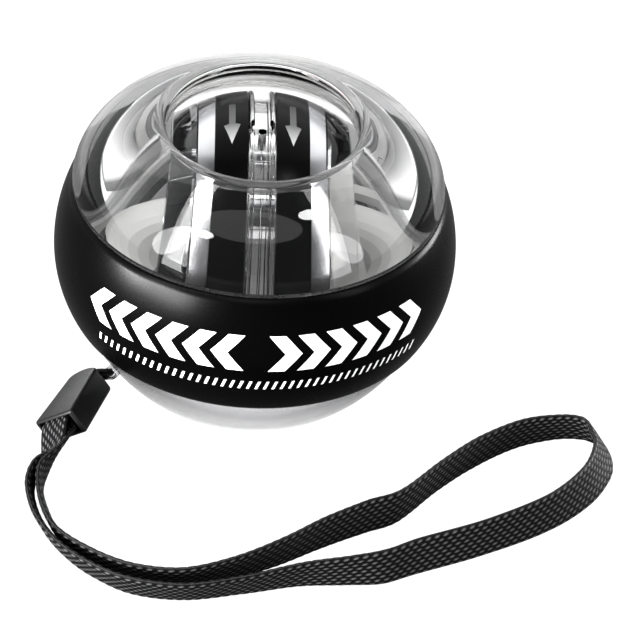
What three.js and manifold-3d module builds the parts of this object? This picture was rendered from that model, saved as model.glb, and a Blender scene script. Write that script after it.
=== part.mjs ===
// Gyroscopic wrist ball: a clear two-part ball with a soft grip band and a wrist strap.
// Inside, a heavy rotor spins on an axle whose tips run round a groove in the shells,
// and a spring case with a ratchet starts the rotor.
// Millimetres, +Z up, origin at the centre of the flat base, +X along the axle at rest.
import * as THREE from 'three';
import { mergeVertices } from 'three/addons/utils/BufferGeometryUtils.js';
import Module from 'manifold-3d';

const wasm = await Module();
wasm.setup();

// Axle, and the sleeves that keep the rotor in its middle
const axleRadius = 2;
const axleTipRadius = 1.5;
const axleBite = 1.8;
const axleTipLength = 2.6;
const axleTipChamfer = 0.4;
const axleRun = 0.3;
const bushWall = 1.4;

// Starter spring, its case and the ratchet
const caseRadius = 12.6;
const caseWall = 2.2;
const caseFloor = 1;
const caseRun = 1;
const coverRun = 0.4;
const coverThickness = 1.5;
const armWidth = 2.4;
const armHeight = 1.8;
const armOffset = 8;
const armSeat = 1.15;
const arborRadius = 4.2;
const springThickness = 0.35;
const springTurns = 5;
const springSteps = 100;
const ratchetTeeth = 12;
const ratchetRim = 1.7;
const toothHeight = 1.3;
const ratchetRoot = arborRadius + ratchetRim;
const ratchetRadius = ratchetRoot + toothHeight;
const ratchetRun = 0.5;
const ratchetThickness = 3;
const pawlPinRadius = 0.7;
const pawlStandoff = 2.6;
const pawlPinCircle = ratchetRadius + pawlStandoff;
const pawlLength = 5.9;
const pawlBossRadius = 1.45;
const pawlTipWidth = 0.7;
const pawlLiftAngle = 54;
const pawlBite = 0.3;

// Rotor, from the spring's recess outwards
const recessRun = 0.8;
const springRecessRadius = caseRadius + recessRun;
const springRecessFloor = 4;
const rotorScrewCount = 3;
const rotorScrewRadius = 1.2;
const rotorScrewHeadRadius = 2.1;
const rotorScrewHeadHeight = 1.7;
const rotorScrewReach = 9;
const rotorScrewWall = 0.5;
const rotorScrewCircle = springRecessRadius + rotorScrewHeadRadius + rotorScrewWall;
const screwBossWall = 1.3;
const stringRingBore = rotorScrewCircle + rotorScrewRadius + screwBossWall;
const stringRingSeatDepth = 2.95;
const weightBore = stringRingBore + stringRingSeatDepth;
const weightDepth = 6.05;
const rotorRadius = weightBore + weightDepth;
const rotorFit = 0.15;
const stringGrooveHalf = 1.35;
const stringGrooveDepth = 1.6;
const stringHoleRadius = 0.75;
const stringHoleDepth = 6;
const stringPocketRadius = 2.2;
const labelThickness = 0.45;
const capRecessDepth = 1.6;
const rimChamfer = 0.8;

// Rotor, along the axle from its middle
const stringRingHalf = 2.4;
const labelWidth = 6;
const chromeWidth = 3.05;
const rimWidth = 4.7;
const labelEnd = stringRingHalf + labelWidth;
const chromeEnd = labelEnd + chromeWidth;
const rimEnd = chromeEnd + rimWidth;
const ratchetStart = springRecessFloor + ratchetRun;
const caseStart = ratchetStart + ratchetThickness + caseRun;
const coverStart = rimEnd + coverRun;

// Ring that carries the axle, and the race that it runs in
const ringRun = 0.9;
const ringWidth = 2.9;
const ringInnerRadius = rotorRadius + ringRun;
const ringOuterRadius = ringInnerRadius + ringWidth;
const ringHeight = 2.2;
const ringSideRun = 0.15;
const axleHalf = ringInnerRadius + axleBite;
const armReach = Math.sqrt(ringInnerRadius ** 2 - armOffset ** 2) + armSeat;
const raceRun = 0.25;
const raceHeight = 2 * (axleTipRadius + raceRun);

// Clear shells round them
const ringEdgeRun = 0.5;
const shellInner = ringOuterRadius + ringEdgeRun;
const shellWall = 2.6;
const shellRadius = shellInner + shellWall;
const baseWall = 1.5;
const floorRun = 0.5;
const centreHeight = rotorRadius + floorRun + baseWall;
const openingRadius = 17.2;
const domeWall = 2.8;
const domeReach = 25.4;
const domeRise = 15.5;
const domeInset = 0.1;
const domeRun = 0.15;
const ledgeRun = 1.3;
const ledgeInnerRadius = rotorRadius + ledgeRun;
const ledgeThickness = 2.25;
const ledgeChamfer = 0.6;
const seamGap = 0.16;
const tongueThickness = 1.2;
const tongueRise = 1.6;

// Grip band
const bandThickness = 2.1;
const bandRadius = shellRadius + bandThickness;
const bandTop = 13;
const bandBottom = 11.8;
const bandTopWall = 1.75;
const bandBottomWall = 1.09;
const bandTopRadius = Math.sqrt(shellRadius ** 2 - bandTop ** 2) + bandTopWall;
const bandBottomRadius = Math.sqrt(shellRadius ** 2 - bandBottom ** 2) + bandBottomWall;
const bandEdgeRound = 0.7;
const bandFit = 0.15;

// Screws of the spring case
const caseScrewRadius = 0.65;
const caseScrewHeadRadius = 1.3;
const caseScrewHeadHeight = 0.9;
const caseScrewLength = 5.5;

// Lanyard: eye on the lower shell, string, moulded connector and flat strap
const eyeHeading = 209.7;
const eyeDrop = 19.7;
const eyeTwist = 72.5;
const eyeReach = 0.95;
const eyeRadius = 1.15;
const eyeThickness = 1;
const eyeHoleFit = 0.2;
const eyeRun = 0.45;
const noseTwist = 59;
const stringDiameter = 1.1;
const stringSetback = 1.5;
const connectorMouthX = -33.8;
const connectorMouthY = -27.7;
const connectorMouthZ = 7.1;
const connectorHeading = -112.4;
const connectorPitch = -3;
const connectorRoll = 39;
const connectorWidth = 9.2;
const connectorNoseWidth = 7;
const connectorThickness = 5.2;
const connectorLength = 12.4;
const connectorNoseRise = 1.9;
const connectorEdge = 0.5;
const connectorWall = 0.75;
const connectorPocket = 9.8;
const noseHoleFit = 0.55;
const strapWidth = 8.4;
const strapThickness = 1.1;
const strapEndWidth = 5.6;
const strapMouthWidth = 7;
const strapDepth = 7;
const strapFit = 0.12;
const strapMouthRun = 0.5;

// Strap track on the floor: x and y of its lower edge, and its lean to the left in degrees
const strapTrack = [
  [-37.6, -33.6, 14], [-38.5, -38.5, 2], [-37.6, -43, -8], [-35.2, -48.8, -18], [-31.6, -54.8, -28],
  [-26.6, -59.4, -34], [-19.8, -62.9, -38], [-11.2, -63.9, -40], [-1.7, -61.9, -34], [8.6, -59.4, -24],
  [17, -58.7, -12], [23.4, -58.1, -3], [29.4, -55.3, 0], [41.4, -49.8, 0], [53.2, -43, 4],
  [61.2, -35.8, 14], [65.6, -28.6, 26], [66.4, -23.2, 32], [64.6, -18.9, 30], [60.6, -17.3, 22],
  [55.5, -17.9, 18], [48.6, -20.8, 12], [40.8, -26.6, 8], [33.7, -33.5, 8], [26.4, -42, 6],
  [20.4, -45.3, 5], [12.8, -49.6, 8], [4.8, -54.2, 14], [-3.4, -57.8, 22], [-11.6, -60, 28],
  [-19.4, -59.6, 31], [-25.8, -56.8, 31], [-31, -51.4, 28], [-34.2, -45.2, 20], [-35.9, -39.2, 8],
  [-35.6, -33.4, -14],
];
const strapFloorGap = 0.3;
const strapMouthLean = 51;
const strapSteps = 78;

// Facets
const shellSegments = 40;
const rotorSegments = 36;
const hubSegments = 24;
const smallSegments = 12;
const stringSides = 6;
const stringSteps = 40;
const noseSteps = 8;
const domeSteps = 9;
const cutOverrun = 1;
const weldDistance = 1e-4;

const clear = new THREE.MeshStandardMaterial({ color: 0xd8dcde, roughness: 0.08, metalness: 0 });
const blackRubber = new THREE.MeshStandardMaterial({ color: 0x111112, roughness: 0.55, metalness: 0 });
const blackLabel = new THREE.MeshStandardMaterial({ color: 0x151516, roughness: 0.35, metalness: 0 });
const chrome = new THREE.MeshStandardMaterial({ color: 0xc9ccd0, roughness: 0.12, metalness: 1 });
const steel = new THREE.MeshStandardMaterial({ color: 0xa9acb0, roughness: 0.3, metalness: 1 });
const blackPlastic = new THREE.MeshStandardMaterial({ color: 0x161617, roughness: 0.4, metalness: 0 });
const whitePlastic = new THREE.MeshStandardMaterial({ color: 0xdcdcd6, roughness: 0.45, metalness: 0 });
const blackBraid = new THREE.MeshStandardMaterial({ color: 0x131314, roughness: 0.85, metalness: 0 });

function radians(degrees) {
  return THREE.MathUtils.degToRad(degrees);
}

// Height on a circle or sphere of the given radius at a distance from its middle
function rise(radius, offset) {
  return Math.sqrt(Math.max(radius * radius - offset * offset, 0));
}

function arc(x, y, radius, from, to, steps) {
  const points = [];
  for (let i = 0; i <= steps; i++) {
    const angle = from + (to - from) * i / steps;
    points.push([x + radius * Math.cos(angle), y + radius * Math.sin(angle)]);
  }
  return points;
}

function signedVolume(position, index) {
  let total = 0;
  const a = new THREE.Vector3();
  const b = new THREE.Vector3();
  const c = new THREE.Vector3();
  for (let i = 0; i < index.length; i += 3) {
    a.fromBufferAttribute(position, index[i]);
    b.fromBufferAttribute(position, index[i + 1]);
    c.fromBufferAttribute(position, index[i + 2]);
    total += a.dot(b.cross(c));
  }
  return total;
}

// A closed geometry as a solid whose faces point out
function solid(geometry) {
  const bare = geometry.clone();
  bare.deleteAttribute('normal');
  bare.deleteAttribute('uv');
  const merged = mergeVertices(bare, weldDistance);
  const source = merged.index.array;
  const turned = signedVolume(merged.attributes.position, source) < 0;
  const index = [];
  for (let i = 0; i < source.length; i += 3) {
    const [a, b, c] = [source[i], source[i + 1], source[i + 2]];
    if (a !== b && b !== c && a !== c) {
      index.push(a, turned ? c : b, turned ? b : c);
    }
  }
  return new wasm.Manifold(new wasm.Mesh({
    numProp: 3,
    vertProperties: Float32Array.from(merged.attributes.position.array),
    triVerts: Uint32Array.from(index),
  }));
}

function geometryOf(body) {
  const mesh = body.getMesh();
  const geometry = new THREE.BufferGeometry();
  geometry.setAttribute('position', new THREE.BufferAttribute(Float32Array.from(mesh.vertProperties), 3));
  geometry.setIndex(Array.from(mesh.triVerts));
  geometry.computeVertexNormals();
  return geometry;
}

// Revolved solids: a profile of [radius, height] round Z, or of [radius, distance] round X
function roundZ(profile, segments) {
  const points = profile.map(([r, h]) => new THREE.Vector2(r, h));
  return solid(new THREE.LatheGeometry(points, segments).rotateX(Math.PI / 2));
}

function roundX(profile, segments) {
  const points = profile.map(([r, x]) => new THREE.Vector2(r, x));
  return solid(new THREE.LatheGeometry(points, segments).rotateZ(-Math.PI / 2));
}

function closed(profile) {
  return [...profile, profile[0]];
}

// A bar along X from one distance to another
function rod(radius, from, to, segments) {
  return roundX([[0, from], [radius, from], [radius, to], [0, to]], segments);
}

function block(lowX, highX, lowY, highY, lowZ, highZ) {
  const geometry = new THREE.BoxGeometry(highX - lowX, highY - lowY, highZ - lowZ);
  return solid(geometry.translate((lowX + highX) / 2, (lowY + highY) / 2, (lowZ + highZ) / 2));
}

function extrude(outline, from, to) {
  const shape = new THREE.Shape(outline.map(([x, y]) => new THREE.Vector2(x, y)));
  const geometry = new THREE.ExtrudeGeometry(shape, { depth: to - from, bevelEnabled: false, curveSegments: 1 });
  return solid(geometry.translate(0, 0, from));
}

// An outline drawn in the Y-Z plane, seen from +X, as a plate along X
function plateX(outline, from, to) {
  const turn = new THREE.Matrix4().makeBasis(
    new THREE.Vector3(0, 1, 0), new THREE.Vector3(0, 0, 1), new THREE.Vector3(1, 0, 0));
  return extrude(outline, from, to).transform(turn.elements);
}

function part(name, body, material) {
  const mesh = new THREE.Mesh(geometryOf(body), material);
  mesh.name = name;
  return mesh;
}

// Clear shells, profiles as [radius, height above the ball's centre]
const ledgeTop = raceHeight / 2 + ledgeThickness;
const tongueOuter = shellInner + tongueThickness;
const domeRadius = bandTopRadius - domeInset;
const domeBase = bandTop + domeRun;

function ledge(side) {
  return [
    [rise(shellInner, ledgeTop), side * ledgeTop],
    [ledgeInnerRadius + ledgeChamfer, side * ledgeTop],
    [ledgeInnerRadius, side * (ledgeTop - ledgeChamfer)],
    [ledgeInnerRadius, side * raceHeight / 2],
  ];
}

// Place on the dome's elliptic shoulder, that far in from its outside
function shoulder(turn, depth) {
  const normal = Math.atan2(domeReach * Math.sin(turn), domeRise * Math.cos(turn));
  return [
    domeRadius + domeReach * (Math.cos(turn) - 1) - depth * Math.cos(normal),
    domeBase + domeRise * Math.sin(turn) - depth * Math.sin(normal),
  ];
}

// The wall ends in a round lip, where its innermost radius is the opening's
function lipTurn() {
  let low = 0;
  let high = Math.PI / 2;
  for (let i = 0; i < 40; i++) {
    const middle = (low + high) / 2;
    if (shoulder(middle, domeWall / 2)[0] - domeWall / 2 > openingRadius) low = middle;
    else high = middle;
  }
  return low;
}

function upperShell() {
  const recess = tongueOuter + seamGap;
  const end = lipTurn();
  const turns = [];
  for (let i = 0; i <= domeSteps; i++) turns.push(end * i / domeSteps);
  const lipNormal = Math.atan2(domeReach * Math.sin(end), domeRise * Math.cos(end));
  const wallHeight = rise(shellInner, domeRadius - domeWall);
  return roundZ(closed([
    [recess, seamGap / 2],
    ...arc(0, 0, shellRadius, Math.asin(seamGap / 2 / shellRadius), Math.asin(domeBase / shellRadius), 4),
    ...turns.map((turn) => shoulder(turn, 0)),
    ...arc(...shoulder(end, domeWall / 2), domeWall / 2, lipNormal, lipNormal + Math.PI, 8).slice(1, -1),
    ...turns.map((turn) => shoulder(turn, domeWall)).reverse(),
    ...arc(0, 0, shellInner, Math.asin(wallHeight / shellInner), Math.asin(ledgeTop / shellInner), 3).slice(0, -1),
    ...ledge(1),
    [recess, raceHeight / 2],
  ]), shellSegments);
}

function lowerShell() {
  const baseAngle = -Math.asin(centreHeight / shellRadius);
  const floorHeight = centreHeight - baseWall;
  const floorAngle = -Math.asin(floorHeight / shellInner);
  const body = roundZ([
    [0, -centreHeight],
    ...arc(0, 0, shellRadius, baseAngle, -Math.asin(seamGap / 2 / shellRadius), 8),
    [tongueOuter, -seamGap / 2],
    [tongueOuter, tongueRise],
    [shellInner, tongueRise],
    [shellInner, -raceHeight / 2],
    ...ledge(-1).reverse(),
    ...arc(0, 0, shellInner, -Math.asin(ledgeTop / shellInner), floorAngle, 5).slice(1),
    [0, -floorHeight],
  ], shellSegments);
  return body.add(eyeTab()).subtract(eyeHole());
}

// Frame of the string's eye: X out of the shell, Z along the hole
const eyeFrame = new THREE.Matrix4().makeRotationZ(radians(eyeHeading))
  .multiply(new THREE.Matrix4().makeRotationY(Math.asin(eyeDrop / shellRadius)))
  .multiply(new THREE.Matrix4().makeRotationX(-radians(90 - eyeTwist)));
const eyeCentre = shellRadius + eyeReach;
const stringRadius = stringDiameter / 2;

function eyeTab() {
  const half = eyeThickness / 2;
  const root = shellRadius - shellWall / 2;
  const outline = [[root, -eyeRadius], ...arc(eyeCentre, 0, eyeRadius, -Math.PI / 2, Math.PI / 2, 8), [root, eyeRadius]];
  return extrude(outline, -half, half).transform(eyeFrame.elements);
}

function eyeHole() {
  const outline = arc(eyeCentre, 0, stringRadius + eyeHoleFit, 0, 2 * Math.PI, 12).slice(1);
  return extrude(outline, -eyeThickness, eyeThickness).transform(eyeFrame.elements);
}

// Each half of the band bulges on its own circle from the edge out to the middle
function bulge(edgeRadius, edgeHeight) {
  const centre = (bandRadius ** 2 - edgeRadius ** 2 - edgeHeight ** 2) / (2 * (bandRadius - edgeRadius));
  return { centre, radius: bandRadius - centre };
}

function gripBand() {
  const upper = bulge(bandTopRadius, bandTop);
  const lower = bulge(bandBottomRadius, bandBottom);
  const bore = shellRadius + bandFit;
  const topAngle = Math.asin((bandTop - bandEdgeRound) / upper.radius);
  const bottomAngle = -Math.asin((bandBottom - bandEdgeRound) / lower.radius);
  return roundZ(closed([
    [rise(bore, bandBottom), -bandBottom],
    [bandBottomRadius - bandEdgeRound, -bandBottom],
    ...arc(lower.centre, 0, lower.radius, bottomAngle, 0, 5),
    ...arc(upper.centre, 0, upper.radius, 0, topAngle, 5).slice(1),
    [bandTopRadius - bandEdgeRound, bandTop],
    ...arc(0, 0, bore, Math.asin(bandTop / bore), -Math.asin(bandBottom / bore), 6).slice(0, -1),
  ]), shellSegments);
}

// Rotor pieces, profiles as [radius, distance along the axle]
function envelope(from, to, steps, inset) {
  const points = [];
  for (let i = 0; i <= steps; i++) {
    const x = from + (to - from) * i / steps;
    points.push([rise(rotorRadius, x) - inset, x]);
  }
  return points;
}

const coreOuter = weightBore - rotorFit;
const stringRingSeat = stringRingHalf + rotorFit;
const axleBore = axleRadius + rotorFit;

function rotorCore(recessRadius, recessFloor) {
  const rimStart = chromeEnd + rotorFit;
  return roundX(closed([
    [axleBore, rotorFit / 2],
    [stringRingBore - rotorFit, rotorFit / 2],
    [stringRingBore - rotorFit, stringRingSeat],
    [coreOuter, stringRingSeat],
    [coreOuter, rimStart],
    ...envelope(rimStart, rimEnd - rimChamfer / 2, 3, 0),
    [rise(rotorRadius, rimEnd) - rimChamfer, rimEnd],
    [recessRadius, rimEnd],
    [recessRadius, recessFloor],
    [axleBore, recessFloor],
  ]), rotorSegments);
}

function screwPlaces() {
  const places = [];
  for (let i = 0; i < rotorScrewCount; i++) {
    places.push(Math.PI / 2 + i * 2 * Math.PI / rotorScrewCount);
  }
  return places;
}

function aroundX(body, circle, angle) {
  return body.translate([0, circle * Math.cos(angle), circle * Math.sin(angle)]);
}

const screwHeadSeat = -rimEnd + rotorScrewHeadHeight + rotorFit;

function rightCore() {
  let body = rotorCore(springRecessRadius, springRecessFloor);
  for (const angle of screwPlaces()) {
    const hole = rod(rotorScrewRadius + rotorFit, -cutOverrun, rotorScrewReach + cutOverrun, smallSegments);
    body = body.subtract(aroundX(hole, rotorScrewCircle, angle));
  }
  for (const angle of pawlPlaces) {
    const pinHole = rod(pawlPinRadius + rotorFit, pawlPinFoot - rotorFit, springRecessFloor + cutOverrun, smallSegments);
    body = body.subtract(aroundX(pinHole, pawlPinCircle, angle));
  }
  return body;
}

function leftCore() {
  let body = rotorCore(springRecessRadius, rimEnd - capRecessDepth).mirror([1, 0, 0]);
  for (const angle of screwPlaces()) {
    const hole = rod(rotorScrewRadius + rotorFit, -rimEnd - cutOverrun, cutOverrun, smallSegments);
    const sink = rod(rotorScrewHeadRadius + rotorFit, -rimEnd - cutOverrun, screwHeadSeat, smallSegments);
    body = body.subtract(aroundX(hole.add(sink), rotorScrewCircle, angle));
  }
  return body;
}

function rotorScrew(angle) {
  const head = rod(rotorScrewHeadRadius, screwHeadSeat - rotorFit - rotorScrewHeadHeight, screwHeadSeat - rotorFit,
    smallSegments);
  const shank = rod(rotorScrewRadius, screwHeadSeat - rotorScrewHeadHeight, rotorScrewReach, smallSegments);
  return aroundX(head.add(shank), rotorScrewCircle, angle);
}

// Clear ring with two rounded flanges, a groove for the starting string and its hole
function stringRing() {
  const flangeHalf = (stringRingHalf - stringGrooveHalf) / 2;
  const flangeTop = rotorRadius - flangeHalf;
  const grooveRadius = rotorRadius - stringGrooveDepth;
  const ring = roundX(closed([
    [stringRingBore, -stringRingHalf],
    ...arc(flangeTop, -stringRingHalf + flangeHalf, flangeHalf, -Math.PI / 2, Math.PI / 2, 4),
    [grooveRadius, -stringGrooveHalf],
    [grooveRadius, stringGrooveHalf],
    ...arc(flangeTop, stringRingHalf - flangeHalf, flangeHalf, -Math.PI / 2, Math.PI / 2, 4),
    [stringRingBore, stringRingHalf],
  ]), rotorSegments);
  const pocket = upright(stringPocketRadius, grooveRadius, rotorRadius + cutOverrun);
  const hole = upright(stringHoleRadius, grooveRadius - stringHoleDepth, rotorRadius + cutOverrun);
  return ring.subtract(pocket.add(hole).rotate([stringHoleLean, 0, 0]));
}

const stringHoleLean = 4;

function upright(radius, from, to) {
  return roundZ([[0, from], [radius, from], [radius, to], [0, to]], smallSegments);
}

function weightRing() {
  const start = stringRingHalf + rotorFit;
  const seat = labelThickness + rotorFit;
  return roundX(closed([
    [weightBore, start],
    ...envelope(start, labelEnd, 2, seat),
    ...envelope(labelEnd, chromeEnd, 2, 0),
    [weightBore, chromeEnd],
  ]), rotorSegments);
}

function labelBand() {
  const start = stringRingHalf + rotorFit;
  const end = labelEnd - rotorFit;
  return roundX(closed([...envelope(start, end, 2, 0), ...envelope(start, end, 2, labelThickness).reverse()]),
    rotorSegments);
}

function axle() {
  const shoulder = axleHalf - axleTipLength;
  const half = [
    [axleTipRadius - axleTipChamfer, axleHalf],
    [axleTipRadius, axleHalf - axleTipChamfer],
    [axleTipRadius, shoulder],
    [axleRadius, shoulder],
  ];
  const other = half.map(([r, x]) => [r, -x]);
  return roundX([[0, -axleHalf], ...other, ...half.reverse(), [0, axleHalf]], smallSegments);
}

const bushEnd = rise(ringInnerRadius, axleRadius + bushWall) - axleRun;

function bush(from) {
  const inner = axleBore;
  const outer = axleRadius + bushWall;
  return roundX(closed([[inner, from], [outer, from], [outer, bushEnd], [inner, bushEnd]]), hubSegments);
}

function sideCap() {
  const outer = springRecessRadius - rotorFit;
  const start = rimEnd - capRecessDepth + rotorFit;
  return roundX(closed([[axleBore, start], [outer, start], [outer, rimEnd - rotorFit], [axleBore, rimEnd - rotorFit]]),
    rotorSegments).mirror([1, 0, 0]);
}

// Pawls stand lifted off the ratchet, as they do once the rotor runs
const pawlPlaces = [0, Math.PI];
const pawlPinFoot = springRecessFloor - 2 * pawlPinRadius - rotorFit;
const pawlPinEnd = ratchetStart + ratchetThickness;

function pawlPin(angle) {
  return aroundX(rod(pawlPinRadius, pawlPinFoot, pawlPinEnd, smallSegments), pawlPinCircle, angle);
}

function pawl(angle) {
  const half = pawlTipWidth / 2;
  const outline = [
    ...arc(0, 0, pawlBossRadius, Math.PI / 2, 3 * Math.PI / 2, 8),
    [pawlLength, -half],
    [pawlLength, half],
  ];
  const start = ratchetStart;
  const arm = plateX(outline, start, start + ratchetThickness - rotorFit);
  const bore = rod(pawlPinRadius + rotorFit, start - cutOverrun, pawlPinEnd + cutOverrun, smallSegments);
  const lifted = arm.subtract(bore).rotate([180 - pawlLiftAngle, 0, 0]);
  const placed = lifted.translate([0, pawlPinCircle, 0]);
  return placed.rotate([THREE.MathUtils.radToDeg(angle), 0, 0]);
}

// Saw teeth whose steep sides meet the pawls
function ratchetOutline() {
  const points = [];
  const pitch = 2 * Math.PI / ratchetTeeth;
  for (let i = 0; i < ratchetTeeth; i++) {
    const start = ratchetPhase + i * pitch;
    points.push([ratchetRoot * Math.cos(start), ratchetRoot * Math.sin(start)]);
    points.push([ratchetRadius * Math.cos(start), ratchetRadius * Math.sin(start)]);
    const middle = start + pitch / 2;
    const half = (ratchetRoot + ratchetRadius) / 2;
    points.push([half * Math.cos(middle), half * Math.sin(middle)]);
  }
  return points;
}

// The tip of a pawl turned down to its tooth reaches this radius, and the teeth are set to meet it
const pawlTipReach = ratchetRadius - pawlBite;
const pawlTipAngle = Math.acos(
  (pawlPinCircle ** 2 + pawlTipReach ** 2 - pawlLength ** 2) / (2 * pawlPinCircle * pawlTipReach));
const toothClearance = 0.1;
const ratchetPhase = pawlTipAngle + toothClearance;

function springArbor() {
  const bore = axleRadius + axleRun;
  const barrel = roundX(closed([
    [bore, ratchetStart],
    [arborRadius, ratchetStart],
    [arborRadius, coverStart - axleRun],
    [bore, coverStart - axleRun],
  ]), hubSegments);
  const wheel = plateX(ratchetOutline(), ratchetStart, ratchetStart + ratchetThickness);
  const bored = wheel.subtract(rod(bore, 0, coverStart, hubSegments));
  return barrel.add(bored);
}

const caseScrewCircle = caseRadius - caseWall / 2;
const caseScrewPlaces = [Math.PI / 2, -Math.PI / 2];

function springCase() {
  const hole = arborRadius + axleRun;
  let body = roundX(closed([
    [hole, caseStart],
    [caseRadius, caseStart],
    [caseRadius, coverStart - rotorFit],
    [caseRadius - caseWall, coverStart - rotorFit],
    [caseRadius - caseWall, caseStart + caseFloor],
    [hole, caseStart + caseFloor],
  ]), hubSegments);
  for (const angle of caseScrewPlaces) {
    const drill = rod(caseScrewRadius + rotorFit, caseScrewEnd - rotorFit, coverStart + cutOverrun, smallSegments);
    body = body.subtract(aroundX(drill, caseScrewCircle, angle));
  }
  return body;
}

const coverEnd = coverStart + coverThickness;
const caseScrewEnd = coverEnd - caseScrewLength;

// Cover of the case, with two arms whose ends sit in slots of the ring
function springCover() {
  const bore = axleRadius + axleRun;
  let body = roundX(closed([
    [bore, coverStart],
    [caseRadius, coverStart],
    [caseRadius, coverEnd],
    [bore, coverEnd],
  ]), hubSegments);
  for (const side of [-1, 1]) {
    const middle = side * armOffset;
    body = body.add(block(coverStart, armReach, middle - armWidth / 2, middle + armWidth / 2,
      -armHeight / 2, armHeight / 2));
  }
  for (const angle of caseScrewPlaces) {
    const drill = rod(caseScrewRadius + rotorFit, coverStart - cutOverrun, coverEnd + cutOverrun, smallSegments);
    body = body.subtract(aroundX(drill, caseScrewCircle, angle));
  }
  return body;
}

function caseScrew(angle) {
  const headStart = coverEnd + rotorFit;
  const head = rod(caseScrewHeadRadius, headStart, headStart + caseScrewHeadHeight, smallSegments);
  const shank = rod(caseScrewRadius, caseScrewEnd, headStart + caseScrewHeadHeight, smallSegments);
  return aroundX(head.add(shank), caseScrewCircle, angle);
}

// Spiral strip between the arbor and the wall of its case
function mainspring() {
  const inner = arborRadius + axleRun + springThickness / 2;
  const outer = caseRadius - caseWall - axleRun - springThickness / 2;
  const sections = [];
  for (let i = 0; i <= springSteps; i++) {
    const share = i / springSteps;
    const angle = -share * springTurns * 2 * Math.PI;
    const radius = inner + (outer - inner) * share;
    const out = new THREE.Vector3(0, Math.cos(angle), Math.sin(angle));
    sections.push({ centre: out.clone().multiplyScalar(radius), side: out, across: new THREE.Vector3(1, 0, 0) });
  }
  const start = caseStart + caseFloor + axleRun;
  const end = coverStart - axleRun;
  const gap = (outer - inner) / springTurns - springThickness;
  console.log(`mainspring: least gap between turns ${gap.toFixed(2)} mm`);
  const half = springThickness / 2;
  return sweep(sections, () => [[-half, start], [half, start], [half, end], [-half, end]]);
}

function raceRing() {
  const half = ringHeight / 2;
  let body = roundZ(closed([
    [ringInnerRadius, -half], [ringOuterRadius, -half], [ringOuterRadius, half], [ringInnerRadius, half],
  ]), shellSegments);
  const notchHalf = axleTipRadius + ringSideRun;
  const notchEnd = axleHalf + axleRun;
  for (const side of [-1, 1]) {
    const [low, high] = [Math.min(0, side * notchEnd), Math.max(0, side * notchEnd)];
    body = body.subtract(block(low, high, -notchHalf, notchHalf, -ringHeight, ringHeight));
    const slot = armWidth / 2 + ringSideRun;
    body = body.subtract(block(0, armReach + ringSideRun, side * armOffset - slot, side * armOffset + slot,
      -ringHeight, ringHeight));
  }
  return body;
}

// Joins sections of equal point counts into one closed tube
function sweep(sections, section) {
  const positions = [];
  const index = [];
  const count = section(0).length;
  sections.forEach((frame, i) => {
    for (const [a, b] of section(i)) {
      const p = frame.centre.clone().addScaledVector(frame.side, a).addScaledVector(frame.across, b);
      positions.push(p.x, p.y, p.z);
    }
  });
  for (let i = 0; i < sections.length - 1; i++) {
    for (let j = 0; j < count; j++) {
      const a = i * count + j;
      const b = i * count + (j + 1) % count;
      index.push(a, b, b + count, a, b + count, a + count);
    }
  }
  const last = (sections.length - 1) * count;
  for (let j = 1; j < count - 1; j++) {
    index.push(0, j + 1, j, last, last + j, last + j + 1);
  }
  const geometry = new THREE.BufferGeometry();
  geometry.setAttribute('position', new THREE.Float32BufferAttribute(positions, 3));
  geometry.setIndex(index);
  return solid(geometry);
}

// Frame of the connector: origin in its mouth, X towards the mouth, Y across its wide face, Z out of it
const connectorFrame = new THREE.Matrix4().makeRotationZ(radians(connectorHeading))
  .multiply(new THREE.Matrix4().makeRotationY(-radians(connectorPitch)))
  .multiply(new THREE.Matrix4().makeRotationX(radians(connectorRoll)))
  .setPosition(connectorMouthX, connectorMouthY, connectorMouthZ);

function connectorOutline(inset, mouthEnd, noseEnd) {
  const half = connectorWidth / 2;
  const noseHalf = connectorNoseWidth / 2;
  const slope = (half - noseHalf) / connectorLength;
  const sideAt = (x) => half + slope * x - inset;
  const nose = noseHalf - inset;
  const riseOfNose = connectorNoseRise - inset * connectorNoseRise / noseHalf;
  const points = [[mouthEnd, -sideAt(mouthEnd)], [mouthEnd, sideAt(mouthEnd)]];
  for (let i = 0; i <= noseSteps; i++) {
    const angle = Math.PI / 2 - i * Math.PI / noseSteps;
    points.push([noseEnd - riseOfNose * Math.cos(angle), nose * Math.sin(angle)]);
  }
  return points;
}

function lanyardConnector() {
  const half = connectorThickness / 2 - connectorEdge;
  const outline = connectorOutline(connectorEdge, cutOverrun, -connectorLength);
  const shape = new THREE.Shape(outline.map(([x, y]) => new THREE.Vector2(x, y)));
  const cap = solid(new THREE.ExtrudeGeometry(shape, {
    depth: 2 * half,
    bevelThickness: connectorEdge,
    bevelSize: connectorEdge,
    bevelSegments: 2,
    curveSegments: 1,
  }).translate(0, 0, -half));
  const front = block(0, connectorLength, -connectorWidth, connectorWidth, -connectorThickness, connectorThickness);
  const pocketHalf = stringRadius + 2 * strapFit + strapThickness + strapFit;
  const pocketEnd = -connectorPocket + connectorNoseRise;
  const pocket = extrude(connectorOutline(connectorWall, cutOverrun, pocketEnd), -pocketHalf, pocketHalf);
  const hole = rod(stringDiameter + noseHoleFit, -connectorLength - connectorNoseRise - cutOverrun, 0, smallSegments);
  return cap.subtract(front).subtract(pocket).subtract(hole).transform(connectorFrame.elements);
}

function connectorPoint(x, y, z) {
  return new THREE.Vector3(x, y, z).applyMatrix4(connectorFrame);
}

// The string leaves the connector's nose, passes through the eye and comes back
const eyeOnBall = new THREE.Matrix4().makeTranslation(0, 0, centreHeight).multiply(eyeFrame);
const legOffset = stringRadius + strapFit;
const eyeOffset = eyeThickness / 2 + stringRadius + eyeRun;

function eyePoint(out, along) {
  return new THREE.Vector3(eyeCentre + out, 0, along).applyMatrix4(eyeOnBall);
}

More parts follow.
